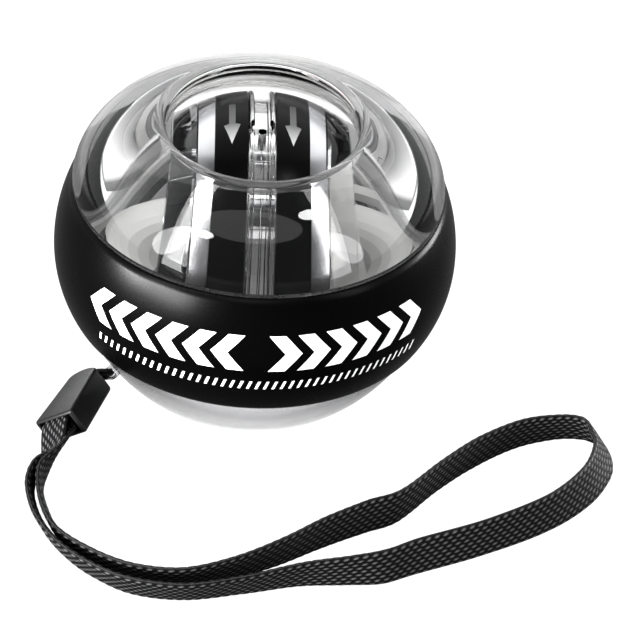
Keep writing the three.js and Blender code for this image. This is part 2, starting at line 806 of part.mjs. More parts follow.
function stringLeg(side) {
  const nose = -connectorLength - connectorNoseRise;
  const across = side * legOffset * Math.cos(radians(noseTwist));
  const out = side * legOffset * Math.sin(radians(noseTwist));
  return [
    connectorPoint(-stringSetback, side * legOffset, 0),
    connectorPoint(nose / 2, side * legOffset, 0),
    connectorPoint(nose + stringRadius, across, out),
    connectorPoint(nose - stringDiameter, across, out),
    eyePoint(eyeRadius / 4, side * eyeOffset),
    eyePoint(0, side * eyeThickness / 2),
  ];
}

function lanyardString() {
  const route = [...stringLeg(-1), eyePoint(0, 0), ...stringLeg(1).reverse()];
  const curve = new THREE.CatmullRomCurve3(route, false, 'centripetal');
  const frames = curve.computeFrenetFrames(stringSteps, false);
  const sections = [];
  for (let i = 0; i <= stringSteps; i++) {
    sections.push({ centre: curve.getPointAt(i / stringSteps), side: frames.normals[i], across: frames.binormals[i] });
  }
  console.log(`lanyard string: length ${curve.getLength().toFixed(1)} mm`);
  return sweep(sections, () => arc(0, 0, stringRadius, 0, 2 * Math.PI, stringSides).slice(1));
}

// Centre line of the strap: out of the connector, round on its lower edge and back into the connector
function strapRoute() {
  const half = strapWidth / 2;
  const stack = stringRadius + strapFit + strapThickness / 2;
  const points = [];
  const leans = [];
  for (const x of [-strapDepth, -strapDepth / 2, strapMouthRun]) {
    points.push(connectorPoint(x, 0, stack));
    leans.push(strapMouthLean);
  }
  strapTrack.forEach(([x, y, lean], i) => {
    const before = strapTrack[Math.max(i - 1, 0)];
    const after = strapTrack[Math.min(i + 1, strapTrack.length - 1)];
    const ahead = new THREE.Vector2(after[0] - before[0], after[1] - before[1]).normalize();
    const sideways = half * Math.sin(radians(lean));
    points.push(new THREE.Vector3(
      x - ahead.y * sideways, y + ahead.x * sideways, strapFloorGap + half * Math.cos(radians(lean))));
    leans.push(lean);
  });
  for (const x of [strapMouthRun, -strapDepth / 2, -strapDepth]) {
    points.push(connectorPoint(x, 0, -stack));
    leans.push(-strapMouthLean);
  }
  return { points, leans };
}

function wristStrap() {
  const { points, leans } = strapRoute();
  const curve = new THREE.CatmullRomCurve3(points, false, 'catmullrom', 0.5);
  const length = curve.getLength();
  console.log(`wrist strap: length ${length.toFixed(1)} mm`);
  const sections = [];
  const widths = [];
  for (let i = 0; i <= strapSteps; i++) {
    const u = i / strapSteps;
    const t = curve.getUtoTmapping(u);
    const ahead = curve.getTangent(t);
    const place = t * (points.length - 1);
    const at = Math.min(Math.floor(place), points.length - 2);
    const lean = radians(THREE.MathUtils.lerp(leans[at], leans[at + 1], place - at));
    const left = new THREE.Vector3(0, 0, 1).cross(ahead).normalize();
    const upward = ahead.clone().cross(left);
    const across = upward.multiplyScalar(Math.cos(lean)).addScaledVector(left, Math.sin(lean));
    const side = across.clone().cross(ahead);
    sections.push({ centre: curve.getPointAt(u), side, across });
    const fromEnd = Math.min(u, 1 - u) * length;
    widths.push(strapWidthAt(fromEnd));
  }
  const h = strapThickness / 2;
  return sweep(sections, (i) => {
    const w = widths[i] / 2;
    return [[-h, -w + h], [-h / 2, -w], [h / 2, -w], [h, -w + h], [h, w - h], [h / 2, w], [-h / 2, w], [-h, w - h]];
  });
}

// The strap is bunched where it enters the connector
function strapWidthAt(fromEnd) {
  if (fromEnd < strapDepth) {
    return THREE.MathUtils.lerp(strapEndWidth, strapMouthWidth, fromEnd / strapDepth);
  }
  const open = Math.min((fromEnd - strapDepth) / strapDepth, 1);
  return THREE.MathUtils.lerp(strapMouthWidth, strapWidth, open);
}

const wristBall = new THREE.Group();
const ball = new THREE.Group();
ball.position.z = centreHeight;
wristBall.add(ball);

ball.add(part('lower_shell', lowerShell(), clear));
ball.add(part('upper_shell', upperShell(), clear));
ball.add(part('grip_band', gripBand(), blackRubber));
wristBall.add(part('lanyard_string', lanyardString(), blackBraid));
wristBall.add(part('lanyard_connector', lanyardConnector(), blackPlastic));
wristBall.add(part('wrist_strap', wristStrap(), blackBraid));

ball.add(part('race_ring', raceRing(), whitePlastic));
ball.add(part('spring_case', springCase(), whitePlastic));
ball.add(part('spring_cover', springCover(), whitePlastic));
ball.add(part('mainspring', mainspring(), steel));
caseScrewPlaces.forEach((angle, i) => ball.add(part(`case_screw_${i + 1}`, caseScrew(angle), steel)));

const rotor = new THREE.Group();
ball.add(rotor);
rotor.add(part('axle', axle(), steel));
rotor.add(part('rotor_core_left', leftCore(), clear));
rotor.add(part('rotor_core_right', rightCore(), clear));
rotor.add(part('string_ring', stringRing(), clear));
rotor.add(part('weight_ring_left', weightRing().mirror([1, 0, 0]), chrome));
rotor.add(part('weight_ring_right', weightRing(), chrome));
rotor.add(part('label_band_left', labelBand().mirror([1, 0, 0]), blackLabel));
rotor.add(part('label_band_right', labelBand(), blackLabel));
rotor.add(part('side_cap', sideCap(), whitePlastic));
rotor.add(part('axle_bush_left', bush(rimEnd + rotorFit).mirror([1, 0, 0]), whitePlastic));
rotor.add(part('axle_bush_right', bush(coverEnd + axleRun), whitePlastic));
screwPlaces().forEach((angle, i) => rotor.add(part(`rotor_screw_${i + 1}`, rotorScrew(angle), steel)));
pawlPlaces.forEach((angle, i) => rotor.add(part(`pawl_pin_${i + 1}`, pawlPin(angle), steel)));
pawlPlaces.forEach((angle, i) => rotor.add(part(`pawl_${i + 1}`, pawl(angle), steel)));
ball.add(part('spring_arbor', springArbor(), whitePlastic));

export default wristBall;
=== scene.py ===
import math

import bmesh
import bpy
from mathutils import Matrix, Vector


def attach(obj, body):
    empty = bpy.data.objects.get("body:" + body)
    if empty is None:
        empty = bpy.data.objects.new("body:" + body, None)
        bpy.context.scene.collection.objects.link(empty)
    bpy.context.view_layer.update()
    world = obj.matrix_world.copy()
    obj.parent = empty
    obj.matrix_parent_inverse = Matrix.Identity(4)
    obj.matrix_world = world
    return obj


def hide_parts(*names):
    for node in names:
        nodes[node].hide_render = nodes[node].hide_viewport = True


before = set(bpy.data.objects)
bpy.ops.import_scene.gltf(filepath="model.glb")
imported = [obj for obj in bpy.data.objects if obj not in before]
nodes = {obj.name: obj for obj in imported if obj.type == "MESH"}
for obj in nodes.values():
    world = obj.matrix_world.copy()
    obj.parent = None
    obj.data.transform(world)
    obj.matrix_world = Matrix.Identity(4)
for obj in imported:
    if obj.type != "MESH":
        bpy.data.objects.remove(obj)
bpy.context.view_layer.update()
scene = bpy.context.scene
mm = 0.001
print("frame loaded")


# how meshes are welded and shaded, lengths in millimetres and angles in degrees
meshing = {
    "weld": 0.002,
    "leastEdge": 0.001,
    "sharpAngle": 32,
}

# ball sizes in millimetres, the same as the solids have except for the dome's plain round cavity
ball = {
    "centreHeight": 29.5,
    "radius": 34.4,
    "wall": 2.6,
    "baseWall": 1.5,
    "openingRadius": 17.2,
    "cavityRadius": 28.95,
    "lipFold": 1.6,
    "lipEdge": 0.45,
    "domeReach": 25.4,
    "domeRise": 15.5,
    "domeInset": 0.1,
    "domeRun": 0.15,
    "domeEdge": 0.12,
    "raceHeight": 3.5,
    "ledgeInnerRadius": 28.8,
    "ledgeThickness": 2.25,
    "ledgeChamfer": 0.6,
    "seamGap": 0.16,
    "tongueThickness": 1.2,
    "tongueRise": 1.6,
    "steps": 192,
    "sideSteps": 16,
    "shoulderSteps": 40,
    "lipSteps": 20,
    "lipEdgeSteps": 5,
    "lipEdgeTurns": 1.3,  # half turns at which the cavity's edge ends, from 1 at the opening
    "cavitySteps": 48,
    "bowlSteps": 40,
    "bowlInnerSteps": 24,
}
centre = Vector((0, 0, ball["centreHeight"]))


def rise(radius, offset):
    return math.sqrt(max(radius**2 - offset**2, 0))


def arc(x, y, radius, start, end, steps):
    turns = [start + (end - start) * i / steps for i in range(steps + 1)]
    return [(x + radius * math.cos(t), y + radius * math.sin(t)) for t in turns]


# builds a mesh object from points in millimetres, welded and with its faces turned outwards
def build(name, points, faces, finish, sharpAngle=meshing["sharpAngle"]):
    mesh = bpy.data.meshes.new(name)
    mesh.from_pydata([Vector(p) * mm for p in points], [], faces)
    work = bmesh.new()
    work.from_mesh(mesh)
    bmesh.ops.remove_doubles(work, verts=work.verts, dist=meshing["weld"] * mm)
    bmesh.ops.dissolve_degenerate(work, edges=work.edges, dist=meshing["leastEdge"] * mm)
    bmesh.ops.recalc_face_normals(work, faces=work.faces)
    work.to_mesh(mesh)
    work.free()
    smooth(mesh, sharpAngle)
    piece = bpy.data.objects.new(name, mesh)
    scene.collection.objects.link(piece)
    mesh.materials.append(finish)
    return piece


def smooth(mesh, sharpAngle):
    mesh.shade_smooth()
    mesh.set_sharp_from_angle(angle=math.radians(sharpAngle))


# turns a closed profile of (radius, height) round the ball's upright axis or round the axle
def turned(name, profile, axis, steps, finish, sharpAngle=meshing["sharpAngle"]):
    count = len(profile)
    points = []
    for i in range(steps):
        c = math.cos(2 * math.pi * i / steps)
        s = math.sin(2 * math.pi * i / steps)
        for r, h in profile:
            place = Vector((r * c, r * s, h)) if axis == "Z" else Vector((h, r * c, r * s))
            points.append(place + centre)
    faces = []
    for i in range(steps):
        here, following = i * count, (i + 1) % steps * count
        for j in range(count):
            k = (j + 1) % count
            faces.append((here + j, here + k, following + k, following + j))
    return build(name, points, faces, finish, sharpAngle)


# a straight piece with a flat outline, from one height to another in a frame of its own
def prism(name, outline, low, high, place, finish):
    count = len(outline)
    points = [place @ Vector((x, y, z)) for z in (low, high) for x, y in outline]
    faces = [tuple(range(count)), tuple(range(count, 2 * count))]
    faces += [(i, (i + 1) % count, count + (i + 1) % count, count + i) for i in range(count)]
    return build(name, points, faces, finish)


# the mesh of a piece with its modifiers applied
def applied(piece):
    return bpy.data.meshes.new_from_object(piece.evaluated_get(bpy.context.evaluated_depsgraph_get()))


# cuts one piece with others that are thrown away afterwards
def cut(piece, cutters, sharpAngle=meshing["sharpAngle"]):
    for cutter in cutters:
        hollow = piece.modifiers.new("hollow", "BOOLEAN")
        hollow.operation = "DIFFERENCE"
        hollow.solver = "EXACT"
        hollow.object = cutter
    shaped = applied(piece)
    piece.modifiers.clear()
    piece.data = shaped
    smooth(shaped, sharpAngle)
    for cutter in cutters:
        bpy.data.objects.remove(cutter)


def wire(material, a, b):
    material.node_tree.links.new(a, b)


# gives a node tree its own short way to add a Math node, whose values are numbers or outputs
def mathFor(tree):
    def calc(kind, *values):
        node = tree.nodes.new("ShaderNodeMath")
        node.operation = kind
        for socket, value in zip(node.inputs, values):
            if isinstance(value, (int, float)):
                socket.default_value = value
            else:
                tree.links.new(value, socket)
        return node.outputs[0]

    return calc


# a plain finish with a fine grain in its gloss and its surface, with grain sizes in millimetres
def grained(name, colour, roughness, grain=0.04, grainSize=0.6, detail=3, bump=0, bumpDepth=0.02, **sockets):
    material = bpy.data.materials.new(name)
    material.use_nodes = True
    tree = material.node_tree
    shader = tree.nodes["Principled BSDF"]
    shader.inputs["Base Color"].default_value = (*colour, 1)
    shader.inputs["Roughness"].default_value = roughness
    for socket, value in sockets.items():
        shader.inputs[socket.replace("_", " ")].default_value = value
    place = tree.nodes.new("ShaderNodeTexCoord")
    noise = tree.nodes.new("ShaderNodeTexNoise")
    noise.inputs["Scale"].default_value = 1 / (grainSize * mm)
    noise.inputs["Detail"].default_value = detail
    spread = tree.nodes.new("ShaderNodeMapRange")
    spread.inputs["To Min"].default_value = max(roughness - grain, 0)
    spread.inputs["To Max"].default_value = roughness + grain
    wire(material, place.outputs["Object"], noise.inputs["Vector"])
    wire(material, noise.outputs["Fac"], spread.inputs["Value"])
    wire(material, spread.outputs["Result"], shader.inputs["Roughness"])
    if bump:
        relief = tree.nodes.new("ShaderNodeBump")
        relief.inputs["Strength"].default_value = bump
        relief.inputs["Distance"].default_value = bumpDepth * mm
        wire(material, noise.outputs["Fac"], relief.inputs["Height"])
        wire(material, relief.outputs["Normal"], shader.inputs["Normal"])
    return material


acrylic = {"IOR": 1.49, "Transmission_Weight": 1.0}
clearPlastic = grained("clear acrylic", colour=(1, 1, 1), roughness=0.012, grain=0.01, grainSize=9, **acrylic)
smokyPlastic = grained("clear acrylic with a satin inside", colour=(0.86, 0.86, 0.87), roughness=0.1,
                       grain=0.06, grainSize=5, **acrylic)
blackRubber = grained("black silicone rubber", colour=(0.0008, 0.0008, 0.0009), roughness=0.28, grain=0.03,
                      grainSize=0.5, bump=0.12, bumpDepth=0.03, IOR=1.17)
blackLabel = grained("black label film", colour=(0.003, 0.003, 0.0033), roughness=0.24, grain=0.03,
                     grainSize=2, IOR=1.15)
chromePlating = grained("bright plating", colour=(0.44, 0.44, 0.45), roughness=0.2, grain=0.03,
                        grainSize=3, Metallic=1.0)
turnedSteel = grained("turned steel", colour=(0.8, 0.81, 0.83), roughness=0.16, grainSize=0.8, Metallic=1.0)
blackPlastic = grained("black moulded plastic", colour=(0.006, 0.006, 0.0063), roughness=0.42, grain=0.1,
                       grainSize=0.35, bump=0.7, bumpDepth=0.04, Specular_IOR_Level=0.4)
whitePlastic = grained("white moulded plastic", colour=(0.58, 0.58, 0.57), roughness=0.42, grain=0.05,
                       grainSize=0.5, bump=0.1)
# one lining in two tones: the grey one is painted shade at the sides, the pale one is painted light from
# behind at the rear
lining = grained("grey lining with painted shade", colour=(0.35, 0.35, 0.35), roughness=0.5)
litRearLining = grained("pale lining with painted light", colour=(0.85, 0.85, 0.85), roughness=0.5)
whitePrint = grained("white print", colour=(0.9, 0.9, 0.9), roughness=0.45, grainSize=0.3)
cordYarn = grained("twisted cord yarn", colour=(0.006, 0.006, 0.0065), roughness=0.6, grain=0.1,
                   grainSize=0.25, bump=0.5, bumpDepth=0.08, Specular_IOR_Level=0.2)
print("finishes ready")


# camera at the photograph's angle, in metres, degrees and millimetres of lens
view = {
    "distance": 0.6,
    "elevation": 37,
    "azimuth": -2.4,
    "roll": 3.7,
    "lens": 185.6,
    "sensor": 36,
    "shiftX": 0.1016,
    "shiftY": -0.1219,
    "nearest": 0.01,
}


def placeCamera():
    lift = math.radians(view["elevation"])
    turn = math.radians(view["azimuth"])
    back = Vector((math.sin(turn) * math.cos(lift), -math.cos(turn) * math.cos(lift), math.sin(lift)))
    level = (-back).cross(Vector((0, 0, 1))).normalized()
    upright = level.cross(-back)
    roll = math.radians(view["roll"])
    right = level * math.cos(roll) + upright * math.sin(roll)
    up = upright * math.cos(roll) - level * math.sin(roll)
    lens = bpy.data.cameras.new("camera")
    lens.lens = view["lens"]
    lens.sensor_width = view["sensor"]
    lens.shift_x = view["shiftX"]
    lens.shift_y = view["shiftY"]
    lens.clip_start = view["nearest"]
    camera = bpy.data.objects.new("camera", lens)
    aim = Matrix((right, up, back)).transposed().to_4x4()
    camera.matrix_world = Matrix.Translation(centre * mm + back * view["distance"]) @ aim
    scene.collection.objects.link(camera)
    scene.camera = camera


# plain white studio, lengths in metres and powers in watts
studio = {
    "gamma": 0.86,
    "floorSize": 3,
    "floorColour": (0.12, 0.12, 0.12),
    "floorRoughness": 0.9,
    "glowColour": (1, 1, 1, 1),
    "floorGlow": 1.0,
    "glowFront": 0.12,
    "glowBehind": 1.05,
    "sideStart": 0.3,
    "sideEnd": 0.6,
    "glowUnder": 1.05,
    "behindStart": 0.075,
    "behindEnd": 0.17,
    "underStart": 0.016,
    "underEnd": 0.036,
    "skyColour": (0.95, 0.96, 0.97, 1),
    "skyStrength": 0.12,
    "backdrop": 1.0,
    "backStart": -0.5,
    "backEnd": 0.1,
    "topStart": 0.6,
    "topEnd": 0.9,
}
softboxes = {
    "front": {"place": (-0.06, -0.66, 0.72), "size": (0.5, 0.4), "power": 1.6, "mattOnly": True},
    "rear": {"place": (0.0, 0.6, 0.68), "size": (1.4, 1.0), "power": 4.6},
    "top": {"place": (-0.04, -0.27, 0.88), "size": (0.7, 0.5), "power": 1.2},
    "glintLeft": {"place": (-0.38, -0.39, 0.79), "size": (0.14, 0.14), "power": 1.1},
    "glintRight": {"place": (0.3, -0.05, 0.9), "size": (0.14, 0.14), "power": 1.1},
    "sideLeft": {"place": (-0.66, -0.42, 0.5), "size": (0.24, 0.8), "power": 5.2},
    "sideRight": {"place": (0.66, -0.42, 0.5), "size": (0.24, 0.8), "power": 3.0},
    "lowLeft": {"place": (-0.62, -0.56, 0.14), "size": (0.45, 0.36), "power": 30, "mattOnly": True},
    "bandLeft": {"place": (-0.8, -0.3, 0.08), "size": (0.3, 0.14), "power": 17, "bandOnly": True},
    "lowRear": {"place": (-0.35, 0.85, 0.1), "size": (0.5, 0.16), "power": 1.6, "mattOnly": True},
    "lowRight": {"place": (0.75, 0.3, 0.14), "size": (0.4, 0.3), "power": 12, "mattOnly": True},
}
mattPieces = bpy.data.collections.new("matt pieces")
bandPieces = bpy.data.collections.new("band")


# a light for the matt pieces or for the band only leaves no hard-edged reflection in the dome
def softbox(name, place, size, power, mattOnly=False, bandOnly=False):
    light = bpy.data.lights.new(name, "AREA")
    light.shape = "ELLIPSE"
    light.size, light.size_y = size
    light.energy = power
    holder = bpy.data.objects.new(name, light)
    holder.location = place
    aim = centre * mm - Vector(place)
    holder.rotation_euler = aim.to_track_quat("-Z", "Y").to_euler()
    if mattOnly:
        holder.light_linking.receiver_collection = mattPieces
    if bandOnly:
        holder.light_linking.receiver_collection = bandPieces
    scene.collection.objects.link(holder)


def ramped(tree, value, start, end, low, high):
    node = tree.nodes.new("ShaderNodeMapRange")
    node.interpolation_type = "SMOOTHSTEP"
    for name, number in (("From Min", start), ("From Max", end), ("To Min", low), ("To Max", high)):
        node.inputs[name].default_value = number
    tree.links.new(value, node.inputs["Value"])
    return node.outputs["Result"]


# a white backdrop behind the ball, which gets dark above and in front
def buildBackdrop():
    world = bpy.data.worlds.new("studio")
    world.use_nodes = True
    tree = world.node_tree
    calc = mathFor(tree)
    sky = tree.nodes["Background"]
    sky.inputs["Color"].default_value = studio["skyColour"]
    place = tree.nodes.new("ShaderNodeTexCoord")
    split = tree.nodes.new("ShaderNodeSeparateXYZ")
    tree.links.new(place.outputs["Generated"], split.inputs[0])
    behind = ramped(tree, split.outputs["Y"], studio["backStart"], studio["backEnd"], 0, studio["backdrop"])
    below = ramped(tree, split.outputs["Z"], studio["topEnd"], studio["topStart"], 0, 1)
    strength = calc("MULTIPLY_ADD", behind, below, studio["skyStrength"])
    tree.links.new(strength, sky.inputs["Strength"])
    scene.world = world


# the floor is white to look at, and its glow is bright behind and under the ball and dim elsewhere
def lightTable(paper):
    tree = paper.node_tree
    calc = mathFor(tree)
    place = tree.nodes.new("ShaderNodeTexCoord")
    split = tree.nodes.new("ShaderNodeSeparateXYZ")
    wire(paper, place.outputs["Object"], split.inputs[0])
    away = tree.nodes.new("ShaderNodeVectorMath")
    away.operation = "LENGTH"
    wire(paper, place.outputs["Object"], away.inputs[0])
    behind = ramped(tree, split.outputs["Y"], studio["behindStart"], studio["behindEnd"],
                    studio["glowFront"], studio["glowBehind"])
    under = ramped(tree, away.outputs["Value"], studio["underEnd"], studio["underStart"],
                   0, studio["glowUnder"])
    sideways = calc("ABSOLUTE", split.outputs["X"])
    aside = ramped(tree, sideways, studio["sideEnd"], studio["sideStart"], 0, 1)
    around = calc("MULTIPLY", behind, calc("MAXIMUM", aside, studio["glowFront"]))
    glow = calc("MAXIMUM", around, under)
    path = tree.nodes.new("ShaderNodeLightPath")
    seen = path.outputs["Is Camera Ray"]
    shown = calc("MULTIPLY", seen, studio["floorGlow"])
    reflected = calc("MULTIPLY", calc("SUBTRACT", 1, seen), glow)
    shader = tree.nodes["Principled BSDF"]
    wire(paper, calc("ADD", shown, reflected), shader.inputs["Emission Strength"])


def buildStudio():
    half = studio["floorSize"] / 2
    mesh = bpy.data.meshes.new("floor")
    corners = [(-half, -half, 0), (half, -half, 0), (half, half, 0), (-half, half, 0)]
    mesh.from_pydata(corners, [], [(0, 1, 2, 3)])
    floor = bpy.data.objects.new("floor", mesh)
    scene.collection.objects.link(floor)
    paper = grained("white paper", studio["floorColour"], studio["floorRoughness"],
                    Emission_Color=studio["glowColour"])
    lightTable(paper)
    mesh.materials.append(paper)
    buildBackdrop()
    for name, box in softboxes.items():
        softbox(name, **box)
    scene.view_settings.view_transform = "Standard"
    scene.view_settings.gamma = studio["gamma"]


placeCamera()
buildStudio()
print("camera and studio ready")


# how a route is drawn: fine steps between two of its points, and the least length to divide by
routing = {
    "steps": 24,
    "leastLength": 1e-9,
}


# smooth open curve through points, with the same rule as the solids, as places and points passed so far
def curveThrough(points, spacing):
    ends = [points[0] * 2 - points[1], *points, points[-1] * 2 - points[-2]]
    fine = []
    for i in range(len(points) - 1):
        p0, p1, p2, p3 = ends[i:i + 4]
        t1, t2 = (p2 - p0) / 2, (p3 - p1) / 2
        for k in range(routing["steps"]):
            t = k / routing["steps"]
            fine.append((p1 * (2 * t**3 - 3 * t**2 + 1) + t1 * (t**3 - 2 * t**2 + t)
                         + p2 * (3 * t**2 - 2 * t**3) + t2 * (t**3 - t**2), i + t))
    fine.append((points[-1].copy(), len(points) - 1.0))
    run = [0.0]
    for (a, _), (b, _) in zip(fine, fine[1:]):
        run.append(run[-1] + (b - a).length)
    count = max(round(run[-1] / spacing), 1)
    line, at = [], 0
    for i in range(count + 1):
        want = run[-1] * i / count
        while at < len(fine) - 2 and run[at + 1] < want:
            at += 1
        share = (want - run[at]) / max(run[at + 1] - run[at], routing["leastLength"])
        share = min(max(share, 0), 1)
        line.append((fine[at][0].lerp(fine[at + 1][0], share),
                     fine[at][1] + (fine[at + 1][1] - fine[at][1]) * share))
    return line, run[-1]


# moulded connector between the string and the strap, in millimetres and degrees from here on
connector = {
    "mouth": Vector((-33.8, -27.7, 7.1)),
    "heading": -112.4,
    "pitch": -3,
    "roll": 39,
    "width": 9.2,
    "noseWidth": 7,
    "thickness": 5.2,
    "length": 12.4,
    "noseRise": 1.9,
    "edge": 0.55,
    "wall": 0.75,
    "pocket": 9.8,
    "holeRadius": 1.65,
    "overrun": 1,
    "noseSteps": 16,
    "holeSteps": 24,
    "edgeSteps": 4,
    "edgeAngle": 40,
}
connectorFrame = (
    Matrix.Translation(connector["mouth"])
    @ Matrix.Rotation(math.radians(connector["heading"]), 4, "Z")
    @ Matrix.Rotation(-math.radians(connector["pitch"]), 4, "Y")
    @ Matrix.Rotation(math.radians(connector["roll"]), 4, "X")
)


def inConnector(x, y, z):
    return connectorFrame @ Vector((x, y, z))


def connectorOutline(inset, mouthEnd, noseEnd):
    half, noseHalf = connector["width"] / 2, connector["noseWidth"] / 2
    slope = (half - noseHalf) / connector["length"]
    side = half + slope * mouthEnd - inset
    nose = noseHalf - inset
    bow = connector["noseRise"] * (1 - inset / noseHalf)
    points = [(mouthEnd, -side), (mouthEnd, side)]
    steps = connector["noseSteps"]
    for i in range(steps + 1):
        turn = math.pi / 2 - i * math.pi / steps
        points.append((noseEnd - bow * math.cos(turn), nose * math.sin(turn)))
    return points


def buildConnector():
    half = connector["thickness"] / 2
    outline = connectorOutline(0, 0, -connector["length"])
    body = prism("connector", outline, -half, half, connectorFrame, blackPlastic)
    rounding = body.modifiers.new("rounding", "BEVEL")
    rounding.width = connector["edge"] * mm
    rounding.segments = connector["edgeSteps"]
    rounding.angle_limit = math.radians(connector["edgeAngle"])
    # the pocket holds the string between the strap's two ends, with one fit inside them and two outside
    pocketHalf = string["diameter"] / 2 + 3 * strap["fit"] + strap["thickness"]
    pocketEnd = -connector["pocket"] + connector["noseRise"]
    outline = connectorOutline(connector["wall"], connector["overrun"], pocketEnd)
    pocket = prism("pocket", outline, -pocketHalf, pocketHalf, connectorFrame, blackPlastic)
    steps = connector["holeSteps"]
    nose = -connector["length"] - connector["noseRise"]
    circle = arc(0, 0, connector["holeRadius"], 0, 2 * math.pi, steps)[1:]
    hole = [inConnector(x, y, z) for x in (nose - connector["overrun"], 0) for y, z in circle]
    sides = [(i, (i + 1) % steps, steps + (i + 1) % steps, steps + i) for i in range(steps)]
    ends = [tuple(range(steps)), tuple(range(steps, 2 * steps))]
    drill = build("drill", hole, [*ends, *sides], blackPlastic)
    cut(body, [pocket, drill], connector["edgeAngle"])
    mattPieces.objects.link(body)
    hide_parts("lanyard_connector")
    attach(body, "casing")
    return body


# strap eye on the lower shell, and the string that runs through it and back
eye = {
    "heading": 209.7,
    "drop": 19.7,
    "twist": 72.5,
    "reach": 0.95,
    "radius": 1.15,
    "thickness": 1.0,
    "holeRadius": 0.75,
    "run": 0.45,
    "root": 0.3,
    "steps": 16,
    "holeSteps": 24,
}
string = {
    "diameter": 1.1,
    "setback": 1.5,
    "noseTwist": 59,
    "legGap": 0.12,
    "overEyeShare": 0.25,
    "spacing": 0.4,
    "roundness": 4,
}
eyeFrame = (
    Matrix.Translation(centre)
    @ Matrix.Rotation(math.radians(eye["heading"]), 4, "Z")
    @ Matrix.Rotation(math.asin(eye["drop"] / ball["radius"]), 4, "Y")
    @ Matrix.Rotation(-math.radians(90 - eye["twist"]), 4, "X")
)
eyeOut = ball["radius"] + eye["reach"]


def inEye(out, along):
    return eyeFrame @ Vector((eyeOut + out, 0, along))


def stringLeg(side):
    radius = string["diameter"] / 2
    offset = side * (radius + string["legGap"])
    nose = -connector["length"] - connector["noseRise"]
    twist = math.radians(string["noseTwist"])
    across, out = offset * math.cos(twist), offset * math.sin(twist)
    clear = side * (eye["thickness"] / 2 + radius + eye["run"])
    return [
        inConnector(-string["setback"], offset, 0),
        inConnector(nose / 2, offset, 0),
        inConnector(nose + radius, across, out),
        inConnector(nose - string["diameter"], across, out),
        inEye(eye["radius"] * string["overEyeShare"], clear),
        inEye(0, side * eye["thickness"] / 2),
    ]


def buildString():
    route = [*stringLeg(-1), inEye(0, 0), *reversed(stringLeg(1))]
    line, length = curveThrough(route, string["spacing"])
    cordCurve = bpy.data.curves.new("lanyard", "CURVE")
    cordCurve.dimensions = "3D"
    cordCurve.bevel_depth = string["diameter"] / 2 * mm
    cordCurve.bevel_resolution = string["roundness"]
    cordCurve.use_fill_caps = True
    spline = cordCurve.splines.new("POLY")
    spline.points.add(len(line) - 1)
    for knot, (place, _) in zip(spline.points, line):
        knot.co = (*(place * mm), 1)
    piece = bpy.data.objects.new("lanyard", cordCurve)
    scene.collection.objects.link(piece)
    cordCurve.materials.append(cordYarn)
    print("lanyard string", round(length, 1), "mm")
    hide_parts("lanyard_string")
    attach(piece, "casing")


# flat braided strap
strap = {
    "width": 8.4,
    "thickness": 1.1,
    "endWidth": 5.2,
    "mouthWidth": 5.8,
    "widening": 14,
    "depth": 7.0,
    "fit": 0.12,
    "mouthRun": 0.5,
    "floorGap": 0.3,
    "liftStart": 2.4,
    "liftShare": 0.45,
    "mouthLean": 51,
    "spacing": 0.3,
    "across": 36,
    "rows": 9,
    "pitch": 1.7,
    "rowShift": 0.5,
    "rowLean": 0.3,
    "relief": 0.13,
    "edgeThinning": 0.55,
    "edgePower": 8,
    "pathStep": 4,
}
# x and y of its lower edge along the floor, and its lean to the left in degrees
strapTrack = [
    (-37.3, -33.4, 30), (-38.3, -38.5, 5), (-37.4, -43.2, -12), (-34.9, -48.8, -23), (-31.2, -54.3, -28),
    (-26.4, -58.9, -29), (-19.8, -62.7, -29), (-11.2, -63.7, -30), (-1.7, -61.9, -27), (8.6, -59.4, -20),
    (17, -58.7, -12), (23.4, -58.1, -3), (29.4, -55.3, 0), (41.4, -49.8, 0), (53.2, -43, 4),
    (61.2, -35.8, 14), (65.6, -28.6, 26), (66.4, -23.2, 32), (64.6, -18.9, 30), (60.6, -17.3, 22),
    (55.5, -17.9, 18), (48.6, -20.8, 12), (40.8, -26.6, 8), (33.7, -33.5, 8), (26.4, -42, 6),
    (20.4, -45.3, 5), (12.8, -49.6, 8), (4.8, -54.6, 14), (-3.4, -58.4, 21), (-11.6, -60.6, 26),
    (-19.2, -59.6, 28), (-25.9, -56.8, 25), (-31.1, -52.1, 26), (-34.5, -46.3, 17), (-36.6, -39.8, 2),
    (-36, -33.6, -24),
]


def strapRoute():
    half = strap["width"] / 2
    stack = string["diameter"] / 2 + strap["fit"] + strap["thickness"] / 2
    points, leans = [], []
    for x in (-strap["depth"], -strap["depth"] / 2, strap["mouthRun"]):
        points.append(inConnector(x, 0, stack))
        leans.append(strap["mouthLean"])
    for i, (x, y, lean) in enumerate(strapTrack):
        before = strapTrack[max(i - 1, 0)]
        after = strapTrack[min(i + 1, len(strapTrack) - 1)]
        ahead = Vector((after[0] - before[0], after[1] - before[1])).normalized()
        sideways = half * math.sin(math.radians(lean))
        lift = strap["liftStart"] * strap["liftShare"] ** min(i, len(strapTrack) - 1 - i)
        points.append(Vector((x - ahead.y * sideways, y + ahead.x * sideways,
                              strap["floorGap"] + lift + half * math.cos(math.radians(lean)))))
        leans.append(lean)
    for x in (strap["mouthRun"], -strap["depth"] / 2, -strap["depth"]):
        points.append(inConnector(x, 0, -stack))
        leans.append(-strap["mouthLean"])
    return points, leans


def strapWidthAt(fromEnd):
    depth = strap["depth"]
    if fromEnd < depth:
        return strap["endWidth"] + (strap["mouthWidth"] - strap["endWidth"]) * fromEnd / depth
    share = min((fromEnd - depth) / strap["widening"], 1)
    return strap["mouthWidth"] + (strap["width"] - strap["mouthWidth"]) * share


